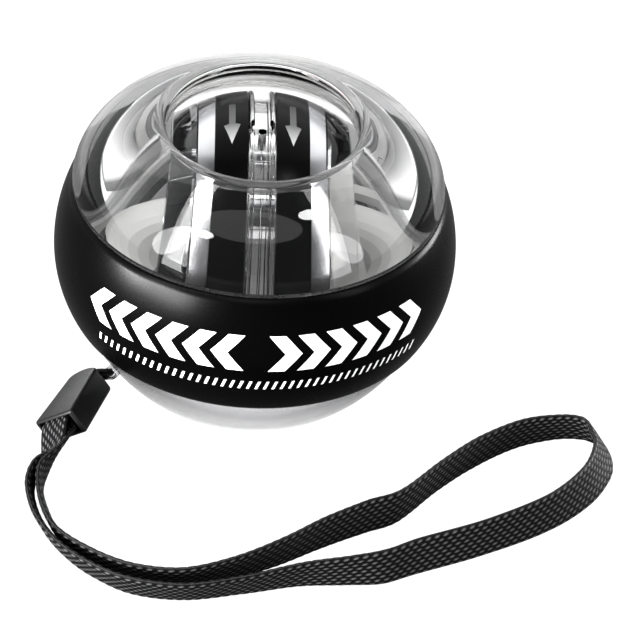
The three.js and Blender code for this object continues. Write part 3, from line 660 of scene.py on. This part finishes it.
# height of the yarns at a place along the strap and a share of the way across it
def yarn(along, share):
    row = min(int(share * strap["rows"]), strap["rows"] - 1)
    inRow = share * strap["rows"] - row
    phase = along / strap["pitch"] + row * strap["rowShift"] + (inRow - 0.5) * strap["rowLean"]
    return math.sqrt(abs(math.sin(math.pi * phase))) * math.sqrt(max(math.sin(math.pi * inRow), 0))


# points round the strap's flat section, along its front and then along its back
def strapRing(place, across, side, run, width):
    count = strap["across"]
    ring = []
    for face in (1, -1):
        for j in range(count + 1):
            share = j / count
            edge = abs(2 * share - 1)
            thick = strap["thickness"] / 2 * (1 - strap["edgeThinning"] * edge ** strap["edgePower"])
            lift = thick - strap["relief"] * (1 - yarn(run, share))
            offset = (share - 0.5) * width * face
            ring.append(place + across * offset + side * (lift * face))
    return ring


# the rings along the strap, square to its line and leaned as it is there
def strapRings(line, leans, step):
    length = step * (len(line) - 1)
    rings = []
    for i, (place, at) in enumerate(line):
        before, after = line[max(i - 1, 0)][0], line[min(i + 1, len(line) - 1)][0]
        ahead = (after - before).normalized()
        k = min(int(at), len(leans) - 2)
        lean = math.radians(leans[k] + (leans[k + 1] - leans[k]) * (at - k))
        left = Vector((0, 0, 1)).cross(ahead).normalized()
        up = ahead.cross(left)
        across = up * math.cos(lean) + left * math.sin(lean)
        side = across.cross(ahead)
        run = i * step
        rings.append(strapRing(place, across, side, run, strapWidthAt(min(run, length - run))))
    return rings


# closed mesh through the rings, with a UV map that counts stitches along the strap and rows across it
def strapMesh(rings, step):
    columns = strap["across"] + 1
    per = 2 * columns
    faces, spots = [], []
    for i in range(len(rings) - 1):
        for j in range(per):
            k = (j + 1) % per
            faces.append((i * per + j, i * per + k, (i + 1) * per + k, (i + 1) * per + j))
            spots.append((i, j, k))
    last = (len(rings) - 1) * per
    faces += [tuple(range(per)), tuple(range(last, last + per))]
    mesh = bpy.data.meshes.new("strap")
    mesh.from_pydata([p * mm for ring in rings for p in ring], [], faces)
    layer = mesh.uv_layers.new(name="weave")
    for polygon, (i, j, k) in zip(mesh.polygons, spots):
        for loop, (ring, column) in zip(polygon.loop_indices, ((i, j), (i, k), (i + 1, k), (i + 1, j))):
            share = column % columns / strap["across"]
            layer.data[loop].uv = (ring * step / strap["pitch"], share * strap["rows"])
    work = bmesh.new()
    work.from_mesh(mesh)
    bmesh.ops.recalc_face_normals(work, faces=work.faces)
    work.to_mesh(mesh)
    work.free()
    mesh.shade_smooth()
    return mesh


def buildStrap():
    points, leans = strapRoute()
    line, length = curveThrough(points, strap["spacing"])
    step = length / (len(line) - 1)
    mesh = strapMesh(strapRings(line, leans, step), step)
    mesh.materials.append(strapBraid)
    piece = bpy.data.objects.new("strap", mesh)
    scene.collection.objects.link(piece)
    print("wrist strap", round(length, 1), "mm,", len(mesh.polygons), "faces")
    mattPieces.objects.link(piece)
    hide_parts("wrist_strap")
    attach(piece, "casing")


braid = {
    "colour": (0.01, 0.01, 0.011),
    "roughness": 0.6,
    "grain": 0.08,
    "grainSize": 0.3,
    "specular": 0.15,
    "wavePower": 1.6,
    "hillPower": 1.3,
    "darkEnd": 0.3,
    "brightStart": 0.95,
    "dark": (0.003, 0.003, 0.003, 1),
    "bright": (0.1, 0.1, 0.103, 1),
}


# dark yarn with paler stitches where each one stands up, partly the braid's grey dots and partly a painted
# highlight on the stitch tops, drawn on the strap's own UV map
def braidFinish():
    material = grained("braided polyester", braid["colour"], braid["roughness"], grain=braid["grain"],
                       grainSize=braid["grainSize"], Specular_IOR_Level=braid["specular"])
    tree = material.node_tree
    calc = mathFor(tree)
    place = tree.nodes.new("ShaderNodeUVMap")
    place.uv_map = "weave"
    parts = tree.nodes.new("ShaderNodeSeparateXYZ")
    wire(material, place.outputs["UV"], parts.inputs[0])
    along, across = parts.outputs[0], parts.outputs[1]
    row = calc("FLOOR", across)
    inRow = calc("FRACT", across)
    shifted = calc("ADD", along, calc("MULTIPLY", row, strap["rowShift"]))
    leaned = calc("ADD", shifted, calc("MULTIPLY", calc("SUBTRACT", inRow, 0.5), strap["rowLean"]))
    wave = calc("ABSOLUTE", calc("SINE", calc("MULTIPLY", leaned, math.pi)))
    hill = calc("SINE", calc("MULTIPLY", inRow, math.pi))
    spot = calc("MULTIPLY", calc("POWER", wave, braid["wavePower"]), calc("POWER", hill, braid["hillPower"]))
    # the ramp paints each stitch top paler: the braid's grey dots together with a painted highlight
    ramp = tree.nodes.new("ShaderNodeValToRGB")
    dark, bright = ramp.color_ramp.elements
    dark.position, dark.color = braid["darkEnd"], braid["dark"]
    bright.position, bright.color = braid["brightStart"], braid["bright"]
    wire(material, spot, ramp.inputs["Fac"])
    wire(material, ramp.outputs["Color"], tree.nodes["Principled BSDF"].inputs["Base Color"])
    return material


strapBraid = braidFinish()
connectorPiece = buildConnector()
buildString()
buildStrap()
print("strap, string and connector ready")


# rubber grip band
band = {
    "radius": 36.5,
    "top": 13.0,
    "bottom": 11.8,
    "topWall": 1.75,
    "bottomWall": 1.09,
    "edgeRound": 0.7,
    "edgeShares": ((0.45, 0.12), (0.1, 0.45)),  # in and down from the outer edge, in rounding radii
    "topFlat": 0.15,
    "bottomFlat": 0.25,
    "fit": 0.15,
    "steps": 256,
    "sideSteps": 20,
    "boreSteps": 12,
    "sharpAngle": 50,
}
bandTopRadius = rise(ball["radius"], band["top"]) + band["topWall"]
bandBottomRadius = rise(ball["radius"], band["bottom"]) + band["bottomWall"]


def bulge(edgeRadius, edgeHeight):
    middle = (band["radius"] ** 2 - edgeRadius**2 - edgeHeight**2) / (2 * (band["radius"] - edgeRadius))
    return middle, band["radius"] - middle


upperBulge = bulge(bandTopRadius, band["top"])
lowerBulge = bulge(bandBottomRadius, band["bottom"])


# clear shells
inner = ball["radius"] - ball["wall"]
ledgeTop = ball["raceHeight"] / 2 + ball["ledgeThickness"]
tongueOuter = inner + ball["tongueThickness"]
domeRadius = bandTopRadius - ball["domeInset"]
domeBase = band["top"] + ball["domeRun"]


def ledge(side):
    reach, chamfer = ball["ledgeInnerRadius"], ball["ledgeChamfer"]
    return [
        (rise(inner, ledgeTop), side * ledgeTop),
        (reach + chamfer, side * ledgeTop),
        (reach, side * (ledgeTop - chamfer)),
        (reach, side * ball["raceHeight"] / 2),
    ]


# place on the dome's elliptic shoulder, that far in from its outside, and its outward angle
def shoulder(turn, depth):
    reach, up = ball["domeReach"], ball["domeRise"]
    normal = math.atan2(reach * math.sin(turn), up * math.cos(turn))
    return (
        domeRadius + reach * (math.cos(turn) - 1) - depth * math.cos(normal),
        domeBase + up * math.sin(turn) - depth * math.sin(normal),
    ), normal


# how the shells look where the band covers them, by height and distance from the ball's middle
covered = {
    "liningTop": 10,
    "liningBottom": 10,
    # from this distance back the lining is painted pale, as light from behind
    "liningRear": 20,
    "liningSplit": 32.5,
    "seam": 0.05,
    "slack": 0.01,
    "wallSlack": 0.1,
    "outward": 0.3,
    "level": 0.9,
}


# what the band covers is black near its edges and along a line under the dome, and a grey lining painted as
# shade between them, but a pale lining painted as light from behind at the rear
def lineCovered(piece, low, high, blackFrom, paleFrom):
    black, grey, pale = 1, 2, 3
    for finish in (blackRubber, lining, litRearLining):
        piece.data.materials.append(finish)
    for face in piece.data.polygons:
        place = face.center / mm - centre
        reach = math.hypot(place.x, place.y)
        outward = Vector((place.x, place.y, 0)).normalized().dot(face.normal)
        if not (low < place.z < high and reach > inner - covered["wallSlack"]):
            continue
        if outward > covered["outward"] or abs(face.normal.z) > covered["level"]:
            line = place.z > band["top"] and reach < covered["liningSplit"]
            # rear faces get the pale lining as painted light, the others black or the grey lining as painted
            # shade
            if place.y > paleFrom and not line:
                face.material_index = pale
            else:
                face.material_index = black if abs(place.z) > blackFrom else grey


halvings = 40  # steps that narrow down where the shoulder meets the lip


# the dome is thick: its cavity is a plain sphere, and the opening is a hole through it with a rolled lip
def buildUpperShell():
    gap, cavity, opening = ball["seamGap"], ball["cavityRadius"], ball["openingRadius"]
    fold, lipEdge = ball["lipFold"], ball["lipEdge"]
    low, high = 0, math.pi / 2
    for _ in range(halvings):
        middle = (low + high) / 2
        if shoulder(middle, fold)[0][0] > opening + fold:
            low = middle
        else:
            high = middle
    crest, crestNormal = shoulder(low, fold)
    lipBottom = rise(cavity, opening + lipEdge)
    recess = tongueOuter + gap
    raceHalf = ball["raceHeight"] / 2
    seamAngle = math.asin(gap / 2 / ball["radius"])
    edgeTurn = ball["lipEdgeTurns"] * math.pi
    steps = ball["shoulderSteps"]
    profile = [
        (recess, gap / 2),
        *arc(0, 0, ball["radius"], seamAngle, math.asin(domeBase / ball["radius"]), ball["sideSteps"]),
        (covered["liningSplit"], domeBase),
        (domeRadius - ball["domeEdge"], domeBase),
        *[shoulder(low * i / steps, 0)[0] for i in range(1, steps + 1)],
        *arc(*crest, fold, crestNormal, math.pi, ball["lipSteps"])[1:],
        *arc(opening + lipEdge, lipBottom + lipEdge, lipEdge, math.pi, edgeTurn, ball["lipEdgeSteps"]),
        *arc(0, 0, cavity, math.asin(lipBottom / cavity), math.asin(raceHalf / cavity), ball["cavitySteps"]),
        (recess, raceHalf),
    ]
    piece = turned("dome", profile, "Z", ball["steps"], clearPlastic)
    top = domeBase + covered["slack"]
    lineCovered(piece, covered["seam"], top, covered["liningTop"], covered["liningRear"])
    piece.visible_shadow = False
    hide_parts("upper_shell")
    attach(piece, "casing")


def buildLowerShell():
    gap = ball["seamGap"]
    bottom = math.asin(ball["centreHeight"] / ball["radius"])
    seamAngle = math.asin(gap / 2 / ball["radius"])
    floorHeight = ball["centreHeight"] - ball["baseWall"]
    ledgeAngle, floorAngle = math.asin(ledgeTop / inner), math.asin(floorHeight / inner)
    profile = [
        (0, -ball["centreHeight"]),
        *arc(0, 0, ball["radius"], -bottom, -seamAngle, ball["bowlSteps"]),
        (tongueOuter, -gap / 2),
        (tongueOuter, ball["tongueRise"]),
        (inner, ball["tongueRise"]),
        (inner, -ball["raceHeight"] / 2),
        *reversed(ledge(-1)),
        *arc(0, 0, inner, -ledgeAngle, -floorAngle, ball["bowlInnerSteps"])[1:],
        (0, -floorHeight),
    ]
    piece = turned("bowl", profile, "Z", ball["steps"], smokyPlastic)
    lineCovered(piece, -band["bottom"], -covered["seam"], covered["liningBottom"], ball["radius"])
    piece.visible_shadow = False
    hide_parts("lower_shell")
    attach(piece, "casing")


def buildEye():
    root = ball["radius"] - eye["root"]
    half, radius = eye["thickness"] / 2, eye["radius"]
    nose = arc(eyeOut, 0, radius, -math.pi / 2, math.pi / 2, eye["steps"])
    tab = prism("eye", [(root, -radius), *nose, (root, radius)], -half, half, eyeFrame, smokyPlastic)
    hole = arc(eyeOut, 0, eye["holeRadius"], 0, 2 * math.pi, eye["holeSteps"])[1:]
    cut(tab, [prism("eye drill", hole, -eye["thickness"], eye["thickness"], eyeFrame, clearPlastic)])
    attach(tab, "casing")


# upper or lower edge of the band, from its flat face to its rounded outside
def bandEdge(edgeRadius, height, flat, side):
    r = band["edgeRound"]
    rounded = [(edgeRadius - inward * r, height - side * down * r) for inward, down in band["edgeShares"]]
    return [(edgeRadius - r - flat, height), *rounded]


def buildBand():
    bore = ball["radius"] + band["fit"]
    top, bottom = band["top"], band["bottom"]
    topAngle = math.asin((top - band["edgeRound"]) / upperBulge[1])
    bottomAngle = -math.asin((bottom - band["edgeRound"]) / lowerBulge[1])
    profile = [
        (rise(bore, bottom), -bottom),
        *bandEdge(bandBottomRadius, -bottom, band["bottomFlat"], -1),
        *arc(lowerBulge[0], 0, lowerBulge[1], bottomAngle, 0, band["sideSteps"]),
        *arc(upperBulge[0], 0, upperBulge[1], 0, topAngle, band["sideSteps"])[1:],
        *reversed(bandEdge(bandTopRadius, top, band["topFlat"], 1)),
        *arc(0, 0, bore, math.asin(top / bore), -math.asin(bottom / bore), band["boreSteps"])[:-1],
    ]
    piece = turned("grip", profile, "Z", band["steps"], blackRubber, band["sharpAngle"])
    mattPieces.objects.link(piece)
    bandPieces.objects.link(piece)
    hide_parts("grip_band")
    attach(piece, "casing")


buildUpperShell()
buildLowerShell()
buildEye()
buildBand()
print("shells and band ready")


# rotor, with distances along the axle from its middle
rotor = {
    "radius": 27.5,
    "stringRingHalf": 2.4,
    "labelEnd": 8.4,
    "chromeEnd": 11.45,
    "rimEnd": 16.15,
    "screwHead": 1.7,
    "fit": 0.15,
    "grooveHalf": 1.35,
    "grooveDepth": 1.6,
    "stringRingBore": 18.5,
    "holeRadius": 0.75,
    "holeDepth": 6.0,
    "pocketRadius": 2.2,
    "holeLean": 4,
    "weightBore": 21.45,
    "weightEdge": 0.15,
    "weightEdgeInset": 0.2,
    "labelThickness": 0.45,
    "springRecess": 13.4,
    "springRecessFloor": 4.0,
    "capRecess": 1.6,
    "rimChamfer": 0.8,
    "axleBore": 2.15,
    "screwCircle": 16.0,
    "screws": 3,
    "screwHole": 1.35,
    "screwSink": 2.25,
    "screwReach": 10,
    "drillReach": 29,
    "overrun": 1,
    "steps": 160,
    "labelSteps": 12,
    "edgeSteps": 10,
    "flangeSteps": 12,
    "screwSteps": 32,
    "drillSteps": 40,
}


def envelope(start, end, steps, inset):
    places = [start + (end - start) * i / steps for i in range(steps + 1)]
    return [(rise(rotor["radius"], x) - inset, x) for x in places]


def mirrored(profile):
    return [(r, -x) for r, x in profile]


def dressRotor(piece, node, slot):
    piece.visible_shadow = slot != "clear_plastic"
    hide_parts(node)
    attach(piece, "rotor")


# cutters for the screws through a rotor half, on their circle round the axle
def screwDrills(name, radius, start, end):
    drills = []
    for i in range(rotor["screws"]):
        angle = math.pi / 2 + i * 2 * math.pi / rotor["screws"]
        spots = [(radius, start), (radius, end), (0, end), (0, start)]
        drill = turned(name, spots, "X", rotor["screwSteps"], turnedSteel)
        aside = Vector((0, math.cos(angle), math.sin(angle))) * rotor["screwCircle"]
        drill.data.transform(Matrix.Translation(aside * mm))
        drills.append(drill)
    return drills


def buildWeightsAndLabels():
    fit, steps = rotor["fit"], rotor["steps"]
    bore, chromeEnd = rotor["weightBore"], rotor["chromeEnd"]
    start, end = rotor["stringRingHalf"] + fit, rotor["labelEnd"] - fit
    weight = [
        (bore, start),
        *envelope(start, rotor["labelEnd"], rotor["labelSteps"], rotor["labelThickness"] + fit),
        *envelope(rotor["labelEnd"], chromeEnd - rotor["weightEdge"], rotor["edgeSteps"], 0),
        (rise(rotor["radius"], chromeEnd) - rotor["weightEdgeInset"], chromeEnd),
        (bore, chromeEnd),
    ]
    label = [
        *envelope(start, end, rotor["labelSteps"], 0),
        *reversed(envelope(start, end, rotor["labelSteps"], rotor["labelThickness"])),
    ]
    for side, shaped in (("left", mirrored), ("right", list)):
        flywheel = turned(f"flywheel_{side}", shaped(weight), "X", steps, chromePlating)
        dressRotor(flywheel, f"weight_ring_{side}", "chrome")
        film = turned(f"label_{side}", shaped(label), "X", steps, blackLabel)
        dressRotor(film, f"label_band_{side}", "black_label")


# profile of a clear rotor half, with a recess in its end down to a floor
def core(recess, floor):
    fit, bore, end = rotor["fit"], rotor["axleBore"], rotor["rimEnd"]
    start, rimStart = rotor["stringRingHalf"] + fit, rotor["chromeEnd"] + fit
    inside, outside = rotor["stringRingBore"] - fit, rotor["weightBore"] - fit
    chamfer = rotor["rimChamfer"]
    return [
        (bore, fit / 2), (inside, fit / 2), (inside, start), (outside, start),
        (outside, rimStart), *envelope(rimStart, end - chamfer / 2, rotor["edgeSteps"], 0),
        (rise(rotor["radius"], end) - chamfer, end),
        (recess, end), (recess, floor), (bore, floor),
    ]


def buildCores():
    recess, end, over = rotor["springRecess"], rotor["rimEnd"], rotor["overrun"]
    profile = core(recess, rotor["springRecessFloor"])
    right = turned("core_right", profile, "X", rotor["steps"], clearPlastic)
    cut(right, screwDrills("drill", rotor["screwHole"], -over, rotor["screwReach"]))
    dressRotor(right, "rotor_core_right", "clear_plastic")
    profile = mirrored(core(recess, end - rotor["capRecess"]))
    left = turned("core_left", profile, "X", rotor["steps"], clearPlastic)
    seat = -end + rotor["screwHead"] + rotor["fit"]
    holes = screwDrills("drill", rotor["screwHole"], -end - over, over)
    cut(left, holes + screwDrills("sink", rotor["screwSink"], -end - over, seat))
    dressRotor(left, "rotor_core_left", "clear_plastic")


# middle ring with the string's groove, and its pocket and hole
def buildStringRing():
    half, groove, bore = rotor["stringRingHalf"], rotor["grooveHalf"], rotor["stringRingBore"]
    flange = (half - groove) / 2
    crest = rotor["radius"] - flange
    floor = rotor["radius"] - rotor["grooveDepth"]

    def roundFlange(middle):
        return arc(crest, middle, flange, -math.pi / 2, math.pi / 2, rotor["flangeSteps"])

    profile = [
        (bore, -half), *roundFlange(flange - half), (floor, -groove),
        (floor, groove), *roundFlange(half - flange), (bore, half),
    ]
    ring = turned("string_pulley", profile, "X", rotor["steps"], clearPlastic)
    drills = []
    high = rotor["drillReach"]
    lean = Matrix.Rotation(math.radians(rotor["holeLean"]), 4, "X")
    pivot = Matrix.Translation(centre * mm)
    for radius, low in ((rotor["pocketRadius"], floor), (rotor["holeRadius"], floor - rotor["holeDepth"])):
        spots = [(0, low), (radius, low), (radius, high), (0, high)]
        drill = turned("drill", spots, "Z", rotor["drillSteps"], clearPlastic)
        drill.data.transform(pivot @ lean @ pivot.inverted())
        drills.append(drill)
    cut(ring, drills)
    dressRotor(ring, "string_ring", "clear_plastic")


# direction arrows printed on the label bands, with angles in degrees from the rotor's top
arrow = {
    "middle": 5.4,
    "shaftStart": -11.5,
    "headStart": 3.0,
    "tip": 13.8,
    "shaftWidth": 1.15,
    "headWidth": 3.1,
    "tipWidth": 0.02,
    "lift": 0.03,
    "steps": 32,
    "ink": (0.3, 0.3, 0.3),
    "roughness": 0.4,
    "tailColour": (0.012, 0.012, 0.013, 1),
    "middleColour": (0.1, 0.1, 0.1, 1),
    "tipColour": (0.62, 0.62, 0.62, 1),
    "middleShare": 0.55,
}


# grey arrow print, darker at the tail and paler towards the tip
def arrowPrint():
    material = grained("grey print", arrow["ink"], arrow["roughness"])
    tree = material.node_tree
    fade = tree.nodes.new("ShaderNodeAttribute")
    fade.attribute_name = "fade"
    ramp = tree.nodes.new("ShaderNodeValToRGB")
    tail, tip = ramp.color_ramp.elements
    tail.color, tip.color = arrow["tailColour"], arrow["tipColour"]
    ramp.color_ramp.elements.new(arrow["middleShare"]).color = arrow["middleColour"]
    wire(material, fade.outputs["Fac"], ramp.inputs["Fac"])
    wire(material, ramp.outputs["Color"], tree.nodes["Principled BSDF"].inputs["Base Color"])
    return material


# angle from the rotor's top and width of each row of points, from the tail to the tip
def arrowRows():
    start, head, tip = arrow["shaftStart"], arrow["headStart"], arrow["tip"]
    rows = []
    for i in range(arrow["steps"] + 1):
        angle = start + (tip - start) * i / arrow["steps"]
        if angle < head:
            rows.append((angle, arrow["shaftWidth"]))
        else:
            rows.append((angle, max(arrow["headWidth"] * (tip - angle) / (tip - head), arrow["tipWidth"])))
    return rows


def buildArrow(name, side, finish):
    rows = arrowRows()
    points, faces, fades = [], [], []
    for angle, width in rows:
        t = math.radians(angle)
        for shift in (-0.5, 0, 0.5):
            x = side * arrow["middle"] + shift * width
            r = rise(rotor["radius"], x) + arrow["lift"]
            points.append(Vector((x, -r * math.sin(t), r * math.cos(t))) + centre)
            fades.append((angle - arrow["shaftStart"]) / (arrow["tip"] - arrow["shaftStart"]))
    for i in range(len(rows) - 1):
        for j in (0, 1):
            faces.append((3 * i + j, 3 * i + 3 + j, 3 * i + 4 + j, 3 * i + 1 + j))
    mesh = bpy.data.meshes.new("arrow")
    mesh.from_pydata([p * mm for p in points], [], faces)
    attribute = mesh.attributes.new("fade", "FLOAT", "POINT")
    attribute.data.foreach_set("value", fades)
    mesh.materials.append(finish)
    mesh.shade_smooth()
    piece = bpy.data.objects.new(name, mesh)
    scene.collection.objects.link(piece)
    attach(piece, "rotor")


buildWeightsAndLabels()
buildCores()
buildStringRing()
arrowInk = arrowPrint()
buildArrow("arrow_left", -1, arrowInk)
buildArrow("arrow_right", 1, arrowInk)
print("rotor ready")


# white marks printed on the band: a row of chevrons each way and a line of ticks under them,
# as copies of one flat mark that the tree lays in a row and wraps round the band
def printTree():
    tree = bpy.data.node_groups.new("print round the band", "GeometryNodeTree")
    face = tree.interface
    face.new_socket(name="Geometry", in_out="INPUT", socket_type="NodeSocketGeometry")
    for name in ("Start", "Spacing", "Lift"):
        face.new_socket(name=name, in_out="INPUT", socket_type="NodeSocketFloat")
    face.new_socket(name="Count", in_out="INPUT", socket_type="NodeSocketInt")
    face.new_socket(name="Finish", in_out="INPUT", socket_type="NodeSocketMaterial")
    face.new_socket(name="Geometry", in_out="OUTPUT", socket_type="NodeSocketGeometry")
    link, calc = tree.links.new, mathFor(tree)
    given = tree.nodes.new("NodeGroupInput")
    result = tree.nodes.new("NodeGroupOutput")
    row = tree.nodes.new("GeometryNodeMeshLine")
    row.mode = "OFFSET"
    link(given.outputs["Count"], row.inputs["Count"])
    first = tree.nodes.new("ShaderNodeCombineXYZ")
    link(given.outputs["Start"], first.inputs["X"])
    link(first.outputs[0], row.inputs["Start Location"])
    pitch = tree.nodes.new("ShaderNodeCombineXYZ")
    link(given.outputs["Spacing"], pitch.inputs["X"])
    link(pitch.outputs[0], row.inputs["Offset"])
    copies = tree.nodes.new("GeometryNodeInstanceOnPoints")
    link(row.outputs["Mesh"], copies.inputs["Points"])
    link(given.outputs["Geometry"], copies.inputs["Instance"])
    real = tree.nodes.new("GeometryNodeRealizeInstances")
    link(copies.outputs["Instances"], real.inputs["Geometry"])
    # x becomes an angle round the band and y a height on its bulge
    place = tree.nodes.new("GeometryNodeInputPosition")
    split = tree.nodes.new("ShaderNodeSeparateXYZ")
    link(place.outputs[0], split.inputs[0])
    x, y = split.outputs[0], split.outputs[1]
    angle = calc("DIVIDE", x, band["radius"] * mm)
    squared = calc("MULTIPLY", y, y)

    def reach(middle, radius):
        beside = calc("SQRT", calc("SUBTRACT", (radius * mm) ** 2, squared))
        return calc("ADD", beside, middle * mm)

    above, below = reach(*upperBulge), reach(*lowerBulge)
    isAbove = calc("GREATER_THAN", y, 0)
    isBelow = calc("SUBTRACT", 1, isAbove)
    surface = calc("ADD", calc("MULTIPLY", isAbove, above), calc("MULTIPLY", isBelow, below))
    radius = calc("ADD", surface, given.outputs["Lift"])
    wrapped = tree.nodes.new("ShaderNodeCombineXYZ")
    link(calc("MULTIPLY", radius, calc("SINE", angle)), wrapped.inputs["X"])
    link(calc("MULTIPLY", calc("MULTIPLY", radius, calc("COSINE", angle)), -1), wrapped.inputs["Y"])
    link(calc("ADD", y, centre.z * mm), wrapped.inputs["Z"])
    bend = tree.nodes.new("GeometryNodeSetPosition")
    link(real.outputs[0], bend.inputs["Geometry"])
    link(wrapped.outputs[0], bend.inputs["Position"])
    paint = tree.nodes.new("GeometryNodeSetMaterial")
    link(bend.outputs[0], paint.inputs["Geometry"])
    link(given.outputs["Finish"], paint.inputs["Material"])
    link(paint.outputs[0], result.inputs[0])
    return tree


chevrons = {
    "height": 7.2,
    "thickness": 3.0,
    "point": 3.0,
    "spacing": 5.15,
    "count": 6,
    "gap": 2.1,
    "middle": 3.1,
    "lift": 0.035,
    "steps": 16,
    "columns": 4,
}
ticks = {
    "height": 1.9,
    "width": 0.5,
    "lean": 0.6,
    "spacing": 1.5,
    "count": 43,
    "middle": -3.9,
    "lift": 0.035,
    "steps": 3,
    "columns": 1,
}


# a flat strip of quads between two edges that run up the mark
def flatMark(name, leftEdge, rightEdge, columns):
    points, faces = [], []
    for (x0, y0), (x1, y1) in zip(leftEdge, rightEdge):
        for j in range(columns + 1):
            share = j / columns
            points.append(((x0 + (x1 - x0) * share) * mm, (y0 + (y1 - y0) * share) * mm, 0))
    for i in range(len(leftEdge) - 1):
        for j in range(columns):
            a = i * (columns + 1) + j
            faces.append((a, a + 1, a + columns + 2, a + columns + 1))
    mesh = bpy.data.meshes.new(name)
    mesh.from_pydata(points, [], faces)
    return mesh


# lays one flat mark in a row round the band, from a first place on
def printRow(name, edges, mark, start, spacing, tree):
    piece = bpy.data.objects.new(name, flatMark(name, *edges, mark["columns"]))
    scene.collection.objects.link(piece)
    wrap = piece.modifiers.new("wrap", "NODES")
    wrap.node_group = tree
    given = {item.name: item.identifier for item in tree.interface.items_tree if item.in_out == "INPUT"}
    wrap[given["Start"]] = start * mm
    wrap[given["Spacing"]] = spacing * mm
    wrap[given["Lift"]] = mark["lift"] * mm
    wrap[given["Count"]] = mark["count"]
    wrap[given["Finish"]] = whitePrint
    shaped = applied(piece)
    piece.modifiers.clear()
    piece.data = shaped
    shaped.shade_smooth()
    mattPieces.objects.link(piece)
    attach(piece, "casing")


# back and front edge of a chevron that points to one side
def chevronEdges(side):
    half, steps = chevrons["height"] / 2, chevrons["steps"]
    back, front = [], []
    for i in range(steps + 1):
        y = -half + chevrons["height"] * i / steps
        nose = chevrons["point"] * (1 - abs(y) / half)
        back.append((side * nose, y + chevrons["middle"]))
        front.append((side * (nose + chevrons["thickness"]), y + chevrons["middle"]))
    return (back, front) if side > 0 else (front, back)


# left and right edge of a slanted tick
def tickEdges():
    height, steps = ticks["height"], ticks["steps"]
    left, right = [], []
    for i in range(steps + 1):
        y = -height / 2 + height * i / steps
        shift = ticks["lean"] * (y + height / 2) / height
        left.append((shift, y + ticks["middle"]))
        right.append((shift + ticks["width"], y + ticks["middle"]))
    return left, right


def buildPrint():
    tree = printTree()
    for side, name in ((1, "marks_right"), (-1, "marks_left")):
        start, spacing = side * chevrons["gap"], side * chevrons["spacing"]
        printRow(name, chevronEdges(side), chevrons, start, spacing, tree)
    start = -ticks["spacing"] * (ticks["count"] - 1) / 2
    printRow("marks_line", tickEdges(), ticks, start, ticks["spacing"], tree)


buildPrint()
print("print ready")


# the inner pieces keep their solids and get their finishes
steelNodes = ["axle", "mainspring", "pawl_1", "pawl_2", "pawl_pin_1", "pawl_pin_2", "case_screw_1",
              "case_screw_2", "rotor_screw_1", "rotor_screw_2", "rotor_screw_3"]
plasticNodes = ["axle_bush_left", "axle_bush_right", "spring_case", "spring_arbor", "spring_cover",
                "race_ring", "side_cap"]
for finish, names in ((turnedSteel, steelNodes), (whitePlastic, plasticNodes)):
    for name in names:
        nodes[name].data.materials.clear()
        nodes[name].data.materials.append(finish)
